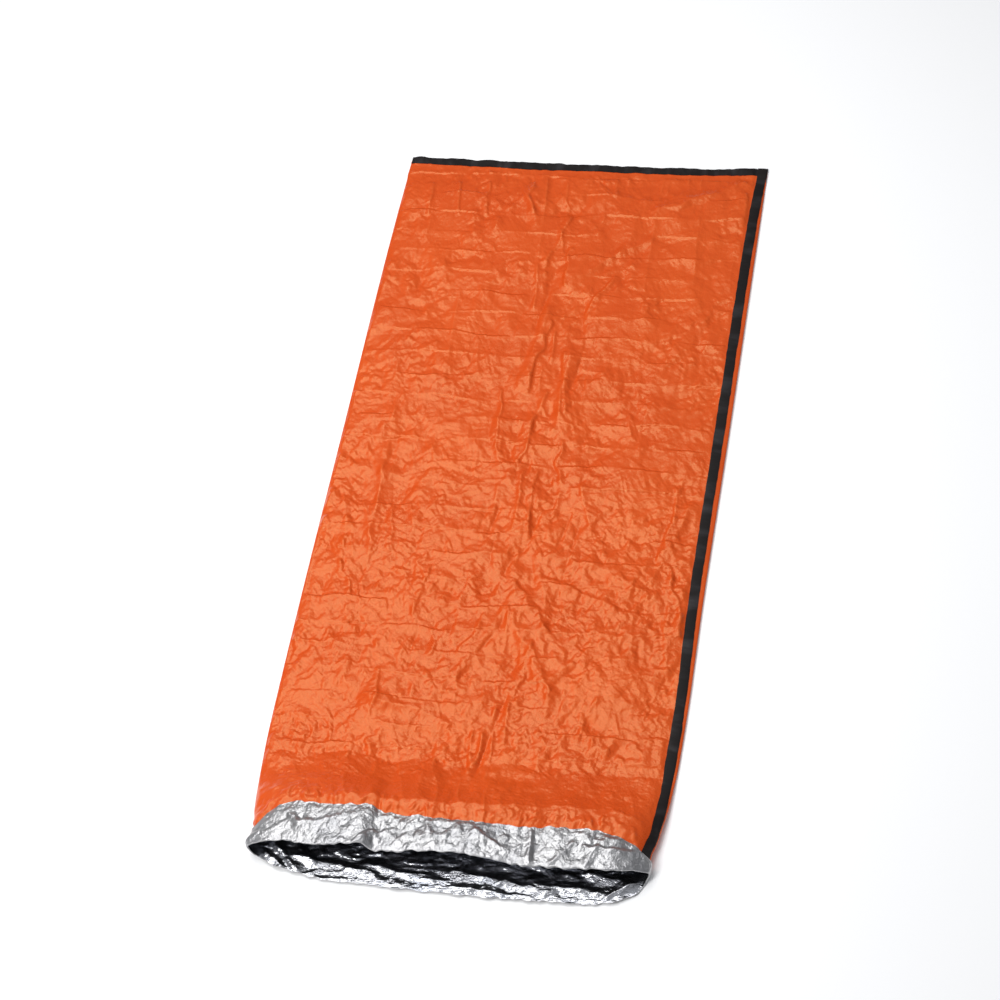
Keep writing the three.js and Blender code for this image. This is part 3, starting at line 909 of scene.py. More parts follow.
class Crumple:
    """The reliefs of the film: where packing, handling and the turned mouth have creased it."""

    def __init__(self, seed: int) -> None:
        """Makes all the reliefs.

        Args:
            seed: sets every scatter in them.
        """
        self.seed = seed
        self.wave = self._wave()
        self.upper = self._upper()
        self.lower = self._lower()
        self.cuff = self._cuff()

    def _sheet(self, pitch: float, step: int) -> Relief:
        """An even relief over the whole film."""
        return Relief(-470.0, 470.0, -1080.0, 1076.0, pitch, self.seed + step)

    def _wave(self) -> Relief:
        """The slight waves that the side's tape and the film under it share.

        Returns:
            Their relief.
        """
        relief = self._sheet(4.0, 1)
        relief.add(1.5 * (relief.noise(70.0, 42.0) - 0.5) + 0.5 * relief.facets(46.0, 28.0))
        return relief

    def _packed(self, relief: Relief, worked: Array) -> Array:
        """The zigzag that folding for the pack left: ridges across the bag, and the film sagging between.

        Args:
            relief: the grid.
            worked: how much the film has been handled at each place, from 0 to 1.

        Returns:
            The heights.
        """
        x, y = relief.x, relief.y
        bent = 14.0 * (relief.noise(180.0, 90.0) - 0.5) + 12.0 * (relief.noise(58.0, 56.0) - 0.5)
        phase = (PACK_START - y + bent) / PACK_PITCH
        row = np.floor(phase)
        share = phase - row
        span = 1000.0
        at_row = (row - row.min()) * span
        here = soft_noise(np.random.default_rng(self.seed + 40), x, at_row, 84.0, span)
        after = soft_noise(np.random.default_rng(self.seed + 40), x, at_row + span, 84.0, span)
        here, after = smoothstep(here, 0.25, 0.85), smoothstep(after, 0.25, 0.85)
        sag = lerp(2.6, 3.6, worked) * (here * (1.0 - share) ** 2.4 + after * share**2.0)
        across = np.abs((x - SPINE["x"](y) + 9.0 * relief.noise(60.0, 160.0)) / UPRIGHT_PITCH)
        between = np.abs(across - np.round(across)) * 2.0
        upright = 2.0 * (1.0 - between) ** 7 * smoothstep(relief.noise(90.0, 120.0), 0.5, 0.8)
        return sag + upright

    def _facets(self, relief: Relief, worked: Array) -> Array:
        """Facets of five sizes, with busy and quiet patches.

        Args:
            relief: the grid.
            worked: how much the film has been handled at each place, from 0 to 1.

        Returns:
            The heights.
        """
        busy = smoothstep(relief.noise(90.0, 80.0, warp=40.0), 0.25, 0.75)
        fine = lerp(0.25, 0.8, worked) + 0.8 * busy
        return (
            3.4 * relief.facets(62.0, 66.0, 4.0, 10.0)
            + 2.4 * relief.facets(30.0, 35.0, -14.0) * (0.45 + 0.65 * busy)
            + 1.4 * relief.facets(16.0, 19.0, 21.0) * fine
            + 0.8 * relief.facets(9.5, 11.0, -28.0) * fine
            + 0.4 * relief.facets(6.0, 7.0, 8.0) * fine
        )

    def _wrinkles(self, relief: Relief, worked: Array) -> Array:
        """Short sharp wrinkles that run every way, in patches.

        Args:
            relief: the grid.
            worked: how much the film has been handled at each place, from 0 to 1.

        Returns:
            The heights.
        """
        made = np.zeros_like(relief.x)
        for turn, tall in ((-72.0, 1.2), (-40.0, 1.5), (-12.0, 1.9), (16.0, 1.7), (46.0, 1.4), (80.0, 1.3)):
            here = smoothstep(relief.noise(50.0, 54.0, warp=24.0), 0.5, 0.82)
            made += 0.75 * tall * here * ridged(relief.noise(10.0, 54.0, turn, 7.0), 2.0)
            here = smoothstep(relief.noise(38.0, 42.0, warp=20.0), 0.52, 0.82)
            made -= 0.6 * tall * here * ridged(relief.noise(12.0, 62.0, turn + 14.0, 8.0), 2.6)
        return made * lerp(0.5, 1.05, worked)

    def _upright(self, relief: Relief) -> Array:
        """Soft folds that run along the bag on both sides of its middle, and meet at sharp angles.

        Args:
            relief: the grid.

        Returns:
            The heights.
        """
        from_spine = np.abs(relief.x - SPINE["x"](relief.y) - 30.0 * (relief.noise(70.0, 120.0) - 0.5))
        near_spine = 0.25 + np.exp(-((from_spine / 95.0) ** 2))
        ridges = 4.4 * ridged(relief.noise(26.0, 110.0, 5.0, 26.0), 1.7)
        ridges *= smoothstep(relief.noise(50.0, 90.0), 0.35, 0.7)
        valleys = 5.2 * ridged(relief.noise(32.0, 130.0, -7.0, 30.0), 2.6)
        valleys *= smoothstep(relief.noise(60.0, 90.0), 0.35, 0.7)
        crest = 2.0 * np.exp(-from_spine / 10.0) * relief.noise(60.0, 70.0)
        return near_spine * (ridges - valleys + crest)

    def _upper(self) -> Relief:
        """The upper layer, over the flat film.

        Returns:
            Its relief.
        """
        relief = self._sheet(2.0, 2)
        x, y = relief.x, relief.y
        sides = sides_at(y)
        worked = smoothstep(-y + 160.0 * (relief.noise(260.0, 200.0) - 0.5), -650.0, 480.0)
        strays_y = 44.0 * (relief.noise(90.0, 90.0) - 0.5) + 40.0 * (relief.noise(24.0, 60.0) - 0.5)
        body = smoothstep(y + strays_y, RISE_Y - 22.0, RISE_Y + 12.0)
        pulled = (
            3.6 * (relief.noise(120.0, 50.0, warp=30.0) - 0.5)
            + 1.2 * relief.facets(60.0, 50.0, 6.0, 20.0)
            + 2.4 * ridged(relief.noise(40.0, 110.0, 12.0, 40.0), 2.0)
        )
        fine = self._facets(relief, worked) + self._wrinkles(relief, worked)
        relief.add(lerp(pulled, self._packed(relief, worked), body))
        upright = self._upright(relief) * lerp(0.5, 1.0, body) * lerp(0.75, 1.0, worked)
        relief.add(fine * lerp(0.45, 1.0, body) + upright)
        relief.add_folds(LONG_FOLDS, 20.0)
        relief.add_folds(TUCKS, 20.0)
        relief.heights *= smoothstep(x - sides.left, 1.0, 13.0)
        relief.add(self._bulge(relief))
        relief.add(self._gathers(relief))
        under_cuff = smoothstep(y, CUFF_Y - 14.0, CUFF_Y + 20.0)
        off_foot = 1.0 - 0.6 * smoothstep(y, FOOT_SLOPE_Y, FOOT_SEAM_Y)
        beside_tape = smoothstep(sides.tape_in - x, -2.0, 13.0)
        relief.heights = lerp(self.wave.at(x, y), relief.heights, beside_tape)
        relief.heights *= off_foot * lerp(0.4, 1.0, under_cuff)
        return relief

    def _bulge(self, relief: Relief) -> Array:
        """The bulge of the film that the cuff's rear edge holds down.

        Args:
            relief: the grid.

        Returns:
            The heights.
        """
        x, y = relief.x, relief.y
        crest = BULGE["y"](x) + 16.0 * (relief.noise(44.0, 4000.0) - 0.5)
        front = np.clip((y - CUFF_Y) / (crest - CUFF_Y), 0.0, 1.0)
        back = np.exp(-np.maximum(y - crest, 0.0) / 26.0)
        ends = smoothstep(HALF_WIDTH - np.abs(x), 28.0, 80.0)
        shape = BULGE["height"](x) * np.minimum(front**0.8, back) * ends
        return shape * lerp(0.75, 1.15, relief.noise(60.0, 60.0))

    def _gathers(self, relief: Relief) -> Array:
        """Small gathers where the film is held.

        Args:
            relief: the grid.

        Returns:
            The heights behind the cuff, along the foot's tape and beside the side's.
        """
        x, y = relief.x, relief.y
        sides = sides_at(y)
        behind = y - CUFF_Y
        reach = 30.0 + 60.0 * relief.noise(40.0, 4000.0)
        at_cuff = (1.0 - smoothstep(behind, 0.35 * reach, reach)) * (0.7 + 0.6 * relief.noise(70.0, 4000.0))
        pleats = (
            2.6 * ridged(relief.noise(17.0, 60.0, 4.0, 18.0), 1.5)
            + 1.9 * ridged(relief.noise(9.0, 26.0, -20.0, 10.0), 1.4)
            + 1.9 * relief.facets(17.0, 20.0, 14.0)
            + 1.6 * relief.facets(9.0, 10.0, -18.0)
        )
        at_foot = 1.0 - smoothstep(FOOT_SEAM_Y - y, 0.0, 34.0 + 34.0 * relief.noise(40.0, 4000.0))
        puckers = 3.0 * ridged(relief.noise(17.0, 40.0, 0.0, 14.0), 1.5) + 1.6 * relief.facets(12.0, 12.0)
        at_tape = np.exp(-np.maximum(sides.tape_in - x, 0.0) / 24.0) * smoothstep(y, RISE_Y - 40.0, RISE_Y)
        creases = 2.0 * ridged(relief.noise(60.0, 17.0, -8.0, 14.0), 1.8) * relief.noise(60.0, 60.0)
        return pleats * at_cuff + puckers * at_foot + creases * at_tape

    def _lower(self) -> Relief:
        """The lower layer, over its place on the floor.

        Returns:
            Its relief, which is crumpled most where it lies bare in the mouth.
        """
        relief = self._sheet(2.5, 3)
        x, y = relief.x, relief.y
        bare = 1.0 - smoothstep(y, -930.0, -820.0)
        crumple = (
            1.4 * relief.facets(60.0, 18.0, 2.0, 8.0)
            + 1.3 * relief.facets(30.0, 11.0, -10.0)
            + 0.8 * relief.facets(16.0, 7.0, 14.0)
            + 1.8 * ridged(relief.noise(60.0, 14.0, 0.0, 14.0), 2.2)
            + 1.2 * ridged(relief.noise(30.0, 16.0, 24.0, 12.0), 2.4)
        )
        off_foot = 1.0 - smoothstep(y, 880.0, 960.0)
        relief.add(np.clip(crumple + 2.0, 0.0, None) * lerp(0.25, 1.0, bare) * off_foot)
        relief.add_folds(INNER_FOLDS, 7.0)
        return relief

    def _cuff(self) -> Relief:
        """The cuff, over x and the depth from the lip.

        Returns:
            Its relief.
        """
        relief = Relief(-470.0, 470.0, -6.0, 116.0, 1.5, self.seed + 4)
        depth = relief.y
        rear = smoothstep(depth, 44.0, 84.0)
        crumple = (
            2.5 * relief.facets(38.0, 42.0, 9.0)
            + 1.4 * relief.facets(19.0, 22.0, -22.0)
            + 1.0 * relief.facets(10.0, 11.0, 14.0)
            + 0.5 * relief.facets(5.6, 6.4, 30.0)
            + 0.6 * ridged(relief.noise(22.0, 60.0, -16.0, 9.0), 2.4)
            + 0.8 * ridged(relief.noise(10.0, 40.0, 0.0, 9.0), 1.5) * rear
        )
        relief.add(np.clip(crumple + 2.0, 0.2, None))
        relief.add_folds(CUFF_FOLDS, 5.0)
        return relief


@dataclass(frozen=True)
class Strip:
    """One side of the film as rings that follow one another, in millimetres."""

    points: Array
    normals: Array
    bend: Array

    @staticmethod
    def along(points: Array, bend: Array) -> "Strip":
        """A strip whose normals follow its own points."""
        return Strip(points, rings_normals(points), bend)

    def cut(self, start: int, end: int, left: int, right: int) -> "Strip":
        """A part of the strip.

        Args:
            start: its first row.
            end: its last row.
            left: its first column.
            right: its last column, which may lie past the ring's join.

        Returns:
            The part, with both ends.
        """
        columns = np.arange(left, right + 1) % self.points.shape[1]
        rows = np.arange(start, end + 1)
        pick = np.ix_(rows, columns)
        return Strip(self.points[pick], self.normals[pick], self.bend[pick])


class FilmRings:
    """The whole film, outside and inside, from the foot round the lip to the cuff's rear edge."""

    body_rows: int = 816
    slope_rows: int = 14
    cuff_rows: int = 38
    turn_rows: int = 6
    edge_reach: float = 46.0
    skin_reach: float = 16.0
    skin_over: float = 1.2
    skin_under: float = 1.0

    def __init__(self, crumple: Crumple) -> None:
        """Works out both sides of the film.

        Args:
            crumple: the film's reliefs.
        """
        self.crumple = crumple
        self.columns = Columns()
        body = np.linspace(FOOT_END_Y, MOUTH_Y, self.body_rows + 1)
        slope = np.linspace(MOUTH_Y, CUFF_Y, self.slope_rows + 1)[1:]
        front = np.linspace(CUFF_Y, LIP_Y, self.cuff_rows + 1)[1:]
        self.places = np.concatenate([body, slope, front])
        self.mouth_row = self.body_rows
        self.lip_row = len(self.places) - 1
        form, out = self.columns.form(self.places), self.columns.outwards(self.places)
        lift, bend = self._creases(form, self.places)
        outside = form + out * lift[..., None]
        near = self.mouth_row
        inside = form[near:] + out[near:] * (lift[near:] - FILM)[..., None]
        deep = form + out * self._deep(form, self.places)[..., None]
        self._turn_the_lip(form, out, lift, bend, outside, inside)
        self.deep = Strip.along(deep, bend)

    def _fades(self, form: Array, places: Array) -> tuple[Array, Array]:
        """How the crumple fades towards the bag's two edges.

        Args:
            form: rings of the film without its creases.
            places: their places along the flat film.

        Returns:
            The share of its crumple that each point keeps beside the left edge, and beside the right one.
        """
        sides = sides_at(places[:, None])
        x = form[..., 0]
        return smoothstep(x - sides.left, 3.0, 42.0), smoothstep(sides.right - x, 3.0, 42.0)

    def _creases(self, form: Array, places: Array) -> tuple[Array, Array]:
        """How far the creases lift the film.

        Args:
            form: rings of the film without its creases.
            places: their places along the flat film.

        Returns:
            The way out from the form at each point, and how sharply the film bends there.
        """
        upper = self.columns.upper + 1
        x = form[..., 0]
        y = np.broadcast_to(places[:, None], x.shape)
        crumple = self.crumple
        left, right = self._fades(form, places)
        lift, bend = np.empty_like(x), np.empty_like(x)
        lift[:, :upper] = crumple.upper.at(x[:, :upper], y[:, :upper])
        bend[:, :upper] = crumple.upper.bend().at(x[:, :upper], y[:, :upper])
        edge = self.columns.right_turn // 2
        last = slice(upper - edge, upper)
        lift[:, last] = crumple.wave.at(x[:, last], y[:, last]) * np.linspace(1.0, 0.0, edge)
        low_x, low_y = x[:, upper:], form[:, upper:, 1]
        lift[:, upper:] = -crumple.lower.at(low_x, low_y) * left[:, upper:] * right[:, upper:]
        bend[:, upper:] = crumple.lower.bend().at(low_x, low_y)
        return lift, bend

    def _deep(self, form: Array, places: Array) -> Array:
        """Where the inside of the body's film lies.

        Args:
            form: rings of the film without its creases.
            places: their places along the flat film.

        Returns:
            How far out from the form it lies at each point, well clear of the finest creases.
        """
        upper = self.columns.upper + 1
        x = form[..., 0]
        y = np.broadcast_to(places[:, None], x.shape)
        low = self.crumple.upper.lowest(self.skin_reach)
        high = self.crumple.lower.like(-self.crumple.lower.heights).lowest(self.skin_reach)
        left, right = self._fades(form, places)
        made = np.empty_like(x)
        fade = left[:, upper:] * right[:, upper:]
        made[:, :upper] = np.minimum(low.at(x[:, :upper], y[:, :upper]), 0.0) - self.skin_over
        made[:, upper:] = high.at(x[:, upper:], form[:, upper:, 1]) * fade - self.skin_under
        return made

    def _cuff_gap(self, form: Array, places: Array) -> Array:
        """How far the turned-back film stands off the film under it.

        Args:
            form: rings of the film under the cuff, without its creases.
            places: their places along the flat film.

        Returns:
            The gap at each point.
        """
        upper = self.columns.upper + 1
        x = form[..., 0]
        depth = (places[:, None] - LIP_Y) * CUFF_DEPTHS["depth"](x) / CUFF_DEPTH
        share = (places[:, None] - LIP_Y) / CUFF_DEPTH
        sides = sides_at(places[:, None])
        from_edge = np.minimum(x - sides.left, sides.right - x)
        over = smoothstep(from_edge, 0.0, self.edge_reach)
        at_lip = lerp(0.6, 1.0, smoothstep(depth, 0.0, 9.0))
        at_rear = lerp(1.0, 0.3, smoothstep(share, 0.86, 1.0))
        round_side = x + 0.9 * form[..., 2] * (1.0 - over)
        puff = self.crumple.cuff.at(round_side, depth) * at_lip * at_rear * lerp(0.6, 1.0, over)
        gap = lerp(CUFF_GAP_OVER, 1.0, share) + puff
        at_edge = 1.2 + 1.5 * puff
        under = lerp(CUFF_GAP_UNDER, at_edge, smoothstep(form[..., 2], 4.0, 16.0))
        return np.where(np.arange(x.shape[1]) < upper, lerp(at_edge, gap, over), under)

    def _turn_the_lip(
        self, form: Array, out: Array, lift: Array, bend: Array, outside: Array, inside: Array
    ) -> None:
        """Takes both sides of the film round the lip and back over the bag.

        Args:
            form: the film's rings without creases, from the foot to the lip.
            out: the direction out of each point.
            lift: how far the creases lift it; not used.
            bend: how sharply it bends.
            outside: the rings of the outside.
            inside: the rings of the inside in the mouth.
        """
        places = np.linspace(LIP_Y, CUFF_Y, self.cuff_rows + 1)
        base, base_out = self.columns.form(places), self.columns.outwards(places)
        base_lift, _ = self._creases(base, places)
        gap = self._cuff_gap(base, places)
        depth = np.broadcast_to(places[:, None] - LIP_Y, base.shape[:2])
        cuff_bend = self.crumple.cuff.bend().at(base[..., 0], depth)
        over = base + base_out * (base_lift + gap + FILM)[..., None]
        under = base + base_out * (base_lift + gap)[..., None]
        lip, lip_out, lip_gap = outside[-1], out[-1], gap[0][:, None]
        forward = unit(form[-1] - form[-3])
        silver_turn, orange_turn = [], []
        for turn, steps, radius in (
            (silver_turn, self.turn_rows, lip_gap / 2 + FILM),
            (orange_turn, 3, lip_gap / 2),
        ):
            for angle in np.linspace(0.0, math.pi, steps + 2)[1:-1]:
                up = lip_out * (lip_gap / 2 - radius * math.cos(angle))
                turn.append(lip + up + forward * radius * math.sin(angle))
        near = self.mouth_row
        flat_bend = np.zeros((1, bend.shape[1]))
        silver = Strip.along(
            np.concatenate([inside, silver_turn, over]),
            np.concatenate([-bend[near:], np.repeat(flat_bend, self.turn_rows, axis=0), cuff_bend]),
        )
        self.orange = Strip.along(
            np.concatenate([outside, orange_turn, under]),
            np.concatenate([bend, np.repeat(flat_bend, len(orange_turn) + len(under), axis=0)]),
        )
        self.silver = turned(silver)


class Side(Enum):
    """The two finishes of the film, by their place among a piece's materials. A tape has only the first."""

    ORANGE = 0
    SILVER = 1


def border(ids: Array) -> Array:
    """The point numbers round a grid's border, down its first column first."""
    return np.concatenate([ids[:-1, 0], ids[-1, :-1], ids[:0:-1, -1], ids[0, :0:-1]])


def thinned_faces(ids: Array, step: int, flip: bool) -> tuple[Array, Array]:
    """Faces of a grid that keeps every point of its border and few inside it.

    Args:
        ids: the grid's point numbers; its rows and columns less one are multiples of step.
        step: how many steps of the grid one wide face inside takes.
        flip: whether the faces are turned over.

    Returns:
        The four-cornered and the three-cornered faces.
    """
    rows, columns = ids.shape
    inner = grid_faces(ids[step:-step:step, step:-step:step], flip)
    row_of, column_of = np.mgrid[0:rows, 0:columns]
    near_row = np.clip(np.round(row_of / step) * step, step, rows - 1 - step).astype(int)
    near_column = np.clip(np.round(column_of / step) * step, step, columns - 1 - step).astype(int)
    ring = border(ids)
    inside = border(ids[near_row, near_column])
    after, inside_after = np.roll(ring, -1), np.roll(inside, -1)
    moved = inside != inside_after
    triangles = np.concatenate(
        [
            np.stack([ring, after, inside], axis=-1),
            np.stack([after, inside_after, inside], axis=-1)[moved],
        ]
    )
    return inner, triangles[:, ::-1] if flip else triangles


@dataclass
class FilmMesh:
    """A piece of film in the making: its points, and the faces of each of its sides."""

    points: list[Array] = field(default_factory=list)
    normals: list[Array] = field(default_factory=list)
    bends: list[Array] = field(default_factory=list)
    faces: list[tuple[Array, Side]] = field(default_factory=list)
    count: int = 0

    def lay(self, strip: Strip, closed: bool) -> Array:
        """Adds a strip's points.

        Args:
            strip: the strip.
            closed: whether its last column meets its first again.

        Returns:
            The grid of the points' numbers.
        """
        rows, columns = strip.points.shape[:2]
        ids = self.count + np.arange(rows * columns).reshape(rows, columns)
        self.count += rows * columns
        self.points.append(strip.points.reshape(-1, 3))
        self.normals.append(strip.normals.reshape(-1, 3))
        self.bends.append(strip.bend.reshape(-1))
        return np.concatenate([ids, ids[:, :1]], axis=1) if closed else ids

    def add(self, faces: Array, side: Side) -> None:
        """Adds faces of one finish."""
        self.faces.append((faces, side))

    def wall(self, outer: Array, inner: Array, side: Side) -> None:
        """Closes the film's cut edge between two closed or open runs of points."""
        self.add(np.stack([outer[1:], outer[:-1], inner[:-1], inner[1:]], axis=-1), side)

    def make(self, name: str, materials: list[bpy.types.Material]) -> bpy.types.Object:
        """Makes the piece.

        Args:
            name: its name.
            materials: the outside's finish and the inside's.

        Returns:
            The object, which sits at the origin.
        """
        points, normals = np.concatenate(self.points) * METRES, np.concatenate(self.normals)
        bends = np.concatenate(self.bends)
        used = np.unique(np.concatenate([faces.ravel() for faces, _ in self.faces]))
        number = np.full(len(points), -1)
        number[used] = np.arange(len(used))
        faces, sides = [], []
        for group, side in self.faces:
            faces += number[group].tolist()
            sides += [side.value] * len(group)
        mesh = bpy.data.meshes.new(name)
        mesh.from_pydata(points[used].tolist(), [], faces)
        mesh.polygons.foreach_set("material_index", sides)
        mesh.polygons.foreach_set("use_smooth", [True] * len(faces))
        bend = mesh.attributes.new("bend", "FLOAT", "POINT")
        bend.data.foreach_set("value", bends[used].astype(np.float32))
        for material in materials:
            mesh.materials.append(material)
        mesh.update()
        mesh.normals_split_custom_set_from_vertices(normals[used].tolist())
        made = bpy.data.objects.new(name, mesh)
        bpy.context.scene.collection.objects.link(made)
        return made


def looped(ring: Array) -> Array:
    """A run of points with its first one again at the end."""
    return np.append(ring, ring[0])


def open_strip(points: Array) -> Strip:
    """A strip that isn't a ring, with normals that follow its own points."""
    normals = unit(np.cross(np.gradient(points, axis=0), np.gradient(points, axis=1)))
    return Strip(points, normals, np.zeros(points.shape[:2]))


def turned(strip: Strip) -> Strip:
    """A strip seen from its other side."""
    return Strip(strip.points, -strip.normals, strip.bend)


@dataclass(frozen=True)
class Wire:
    """A number that varies over a surface. Sums on it add their Math nodes."""

    shader: "Shader"
    socket: Socket

    def _math(self, operation: str, first: "Wire | float", second: "Wire | float") -> "Wire":
        """Adds a Math node and gives its result."""
        node = self.shader.node("ShaderNodeMath", {"operation": operation}, {0: first, 1: second})
        return Wire(self.shader, node.outputs[0])

    def __add__(self, other: "Wire | float") -> "Wire":
        """The sum."""
        return self._math("ADD", self, other)

    def __radd__(self, other: float) -> "Wire":
        """The sum, with the number first."""
        return self._math("ADD", other, self)

    def __sub__(self, other: "Wire | float") -> "Wire":
        """What is left."""
        return self._math("SUBTRACT", self, other)

    def __rsub__(self, other: float) -> "Wire":
        """What is left of a number."""
        return self._math("SUBTRACT", other, self)

    def __mul__(self, other: "Wire | float") -> "Wire":
        """The product."""
        return self._math("MULTIPLY", self, other)

    def __rmul__(self, other: float) -> "Wire":
        """The product, with the number first."""
        return self._math("MULTIPLY", other, self)

    def __abs__(self) -> "Wire":
        """The number without its sign."""
        return self._math("ABSOLUTE", self, 0.0)

    def eased(self, start: float, end: float) -> "Wire":
        """Goes smoothly from 0 to 1.

        Args:
            start: the number that gives 0.
            end: the number that gives 1.

        Returns:
            The eased number.
        """
        settings = {"interpolation_type": "SMOOTHSTEP"}
        node = self.shader.node("ShaderNodeMapRange", settings, {0: self, 1: start, 2: end, 3: 0.0, 4: 1.0})
        return Wire(self.shader, node.outputs[0])


class Shader:
    """A procedural material, or the studio's surroundings, in the making."""

    def __init__(self, made: "bpy.types.Material | bpy.types.World") -> None:
        """Starts with no nodes.

        Args:
            made: the new material or surroundings that the nodes are for.
        """
        made.use_nodes = True
        self.made = made
        self.tree = made.node_tree
        self.tree.nodes.clear()

    def node(self, kind: str, settings: dict[str, object], sockets: dict[object, object]) -> bpy.types.Node:
        """Adds a node.

        Args:
            kind: the node's type.
            settings: its settings, which are made first.
            sockets: the value or the link of each socket, by its name or number.

        Returns:
            The node.
        """
        made = self.tree.nodes.new(kind)
        for name, setting in settings.items():
            setattr(made, name, setting)
        for name, value in sockets.items():
            if isinstance(value, Wire):
                value = value.socket
            if isinstance(value, Socket):
                self.tree.links.new(value, made.inputs[name])
            else:
                made.inputs[name].default_value = value
        return made

    def place(self) -> Socket:
        """The place on the object, in metres."""
        return self.node("ShaderNodeTexCoord", {}, {}).outputs["Object"]

    def vector(self, operation: str, first: object, second: object) -> Socket:
        """Adds a Vector Math node and gives its result."""
        return self.node("ShaderNodeVectorMath", {"operation": operation}, {0: first, 1: second}).outputs[0]

    def stretched(self, place: Socket, scale: tuple[float, float, float]) -> Socket:
        """A place with each of its parts scaled."""
        return self.vector("MULTIPLY", place, scale)

    def bent(self, place: Socket, per_metre: float, reach: float) -> Socket:
        """A place that strays.

        Args:
            place: the place.
            per_metre: how many times it strays in a metre.
            reach: how far it strays, in metres.

        Returns:
            The place it strays to.
        """
        noise = self.node("ShaderNodeTexNoise", {}, {"Vector": place, "Scale": per_metre, "Detail": 2.0})
        away = self.vector("SUBTRACT", noise.outputs["Color"], (0.5,) * 3)
        return self.vector("ADD", place, self.vector("MULTIPLY", away, (reach,) * 3))

    def noise(self, place: Socket, per_metre: float, detail: float = 2.0) -> Wire:
        """A smooth scatter from 0 to 1."""
        node = self.node("ShaderNodeTexNoise", {}, {"Vector": place, "Scale": per_metre, "Detail": detail})
        return Wire(self, node.outputs["Fac"])

    def facets(self, place: Socket, per_metre: float) -> Wire:
        """Small facets.

        Args:
            place: the place.
            per_metre: how many there are in a metre.

        Returns:
            The height, from 0 at their edges to about 0.5 in their middles.
        """
        settings = {"feature": "DISTANCE_TO_EDGE"}
        node = self.node("ShaderNodeTexVoronoi", settings, {"Vector": place, "Scale": per_metre})
        return Wire(self, node.outputs["Distance"])

    def along(self, place: Socket, axis: str) -> Wire:
        """One part of a place, X, Y or Z."""
        return Wire(self, self.node("ShaderNodeSeparateXYZ", {}, {0: place}).outputs[axis])

    def bend(self) -> Wire:
        """How sharply the film bends: above 0 on ridges and below 0 in valleys."""
        return Wire(self, self.node("ShaderNodeAttribute", {"attribute_name": "bend"}, {}).outputs["Fac"])

    def mixed(self, share: Wire, first: object, second: object) -> Socket:
        """Goes from one colour to another by a share."""
        node = self.node("ShaderNodeMix", {"data_type": "RGBA"}, {0: share, 6: first, 7: second})
        return node.outputs[2]

    def bumped(self, height: Wire, distance: float, strength: float) -> Socket:
        """The normal of a surface with small heights on it, distance metres high."""
        sockets = {"Height": height, "Distance": distance, "Strength": strength}
        return self.node("ShaderNodeBump", {}, sockets).outputs["Normal"]

    def finish(self, sockets: dict[object, object]) -> bpy.types.Material:
        """Ends the material with its surface.

        Args:
            sockets: the values and links of the Principled BSDF's sockets.

        Returns:
            The material.
        """
        surface = self.node("ShaderNodeBsdfPrincipled", {}, sockets)
        self.node("ShaderNodeOutputMaterial", {}, {"Surface": surface.outputs["BSDF"]})
        return self.made


@dataclass(frozen=True)
class OrangeFilm:
    """The outside of the film: a thin orange coat, softly glossy, paler on its ridges, partly as rubbed coat
    and partly as a painted highlight, and darker in its valleys as painted shade.
    """

    plain: Colour = (0.665, 0.078, 0.0075, 1.0)
    # deep is the darker orange of random patches, and the same colour is mixed into the valleys as painted
    # shade.
    deep: Colour = (0.61, 0.062, 0.005, 1.0)
    # The paler orange of the ridges: partly rubbed coat, partly a painted highlight.
    worn_and_highlight: Colour = (0.76, 0.16, 0.038, 1.0)
    gloss: Colour = (0.9, 0.88, 0.44, 1.0)
    smooth: float = 0.22
    dull: float = 0.36
    shine: float = 0.62
    crinkle: float = 0.0018
    relief: float = 0.9

    def material(self) -> bpy.types.Material:
        """Makes the material.

        Returns:
            The new material.
        """
        shader = Shader(bpy.data.materials.new("orange_film"))
        place = shader.place()
        strayed = shader.bent(place, 34.0, 0.012)
        patches = shader.noise(place, 5.0, 3.0)
        fine = shader.noise(strayed, 420.0, 3.0)
        cells = shader.facets(strayed, 62.0)
        small = shader.facets(shader.bent(place, 90.0, 0.005), 150.0)
        bend = shader.bend()
        busy = shader.noise(place, 8.0).eased(0.36, 0.66)
        handled = (0.4 - shader.along(place, "Y")).eased(0.0, 1.0)
        creases = abs(shader.noise(strayed, 80.0, 1.0) - 0.5)
        crumpled = 0.3 + 0.35 * busy + 0.4 * handled
        height = (0.5 * cells + 0.35 * small + 0.75 * creases) * crumpled + 0.1 * fine
        # Paler on the ridges and in fine flecks: partly rubbed coat, partly a painted highlight.
        worn_and_highlight = (bend * 0.8 + 0.5 * fine - 0.3).eased(0.0, 1.0) * 0.4
        # Darker in the valleys, where shade falls: painted shade.
        painted_crease_shade = (0.1 - bend).eased(0.1, 1.1)
        body = shader.mixed((patches - 0.2).eased(0.0, 0.7), self.deep, self.plain)
        # The body colour with the painted shade of the valleys mixed in.
        shaded = shader.mixed(painted_crease_shade * 0.55, body, self.deep)
        return shader.finish(
            {
                "Base Color": shader.mixed(worn_and_highlight, shaded, self.worn_and_highlight),
                "Roughness": self.smooth + (self.dull - self.smooth) * (0.6 * patches + 0.4 * fine),
                "Specular IOR Level": self.shine,
                "Specular Tint": self.gloss,
                "Normal": shader.bumped(height, self.crinkle, self.relief),
            }
        )


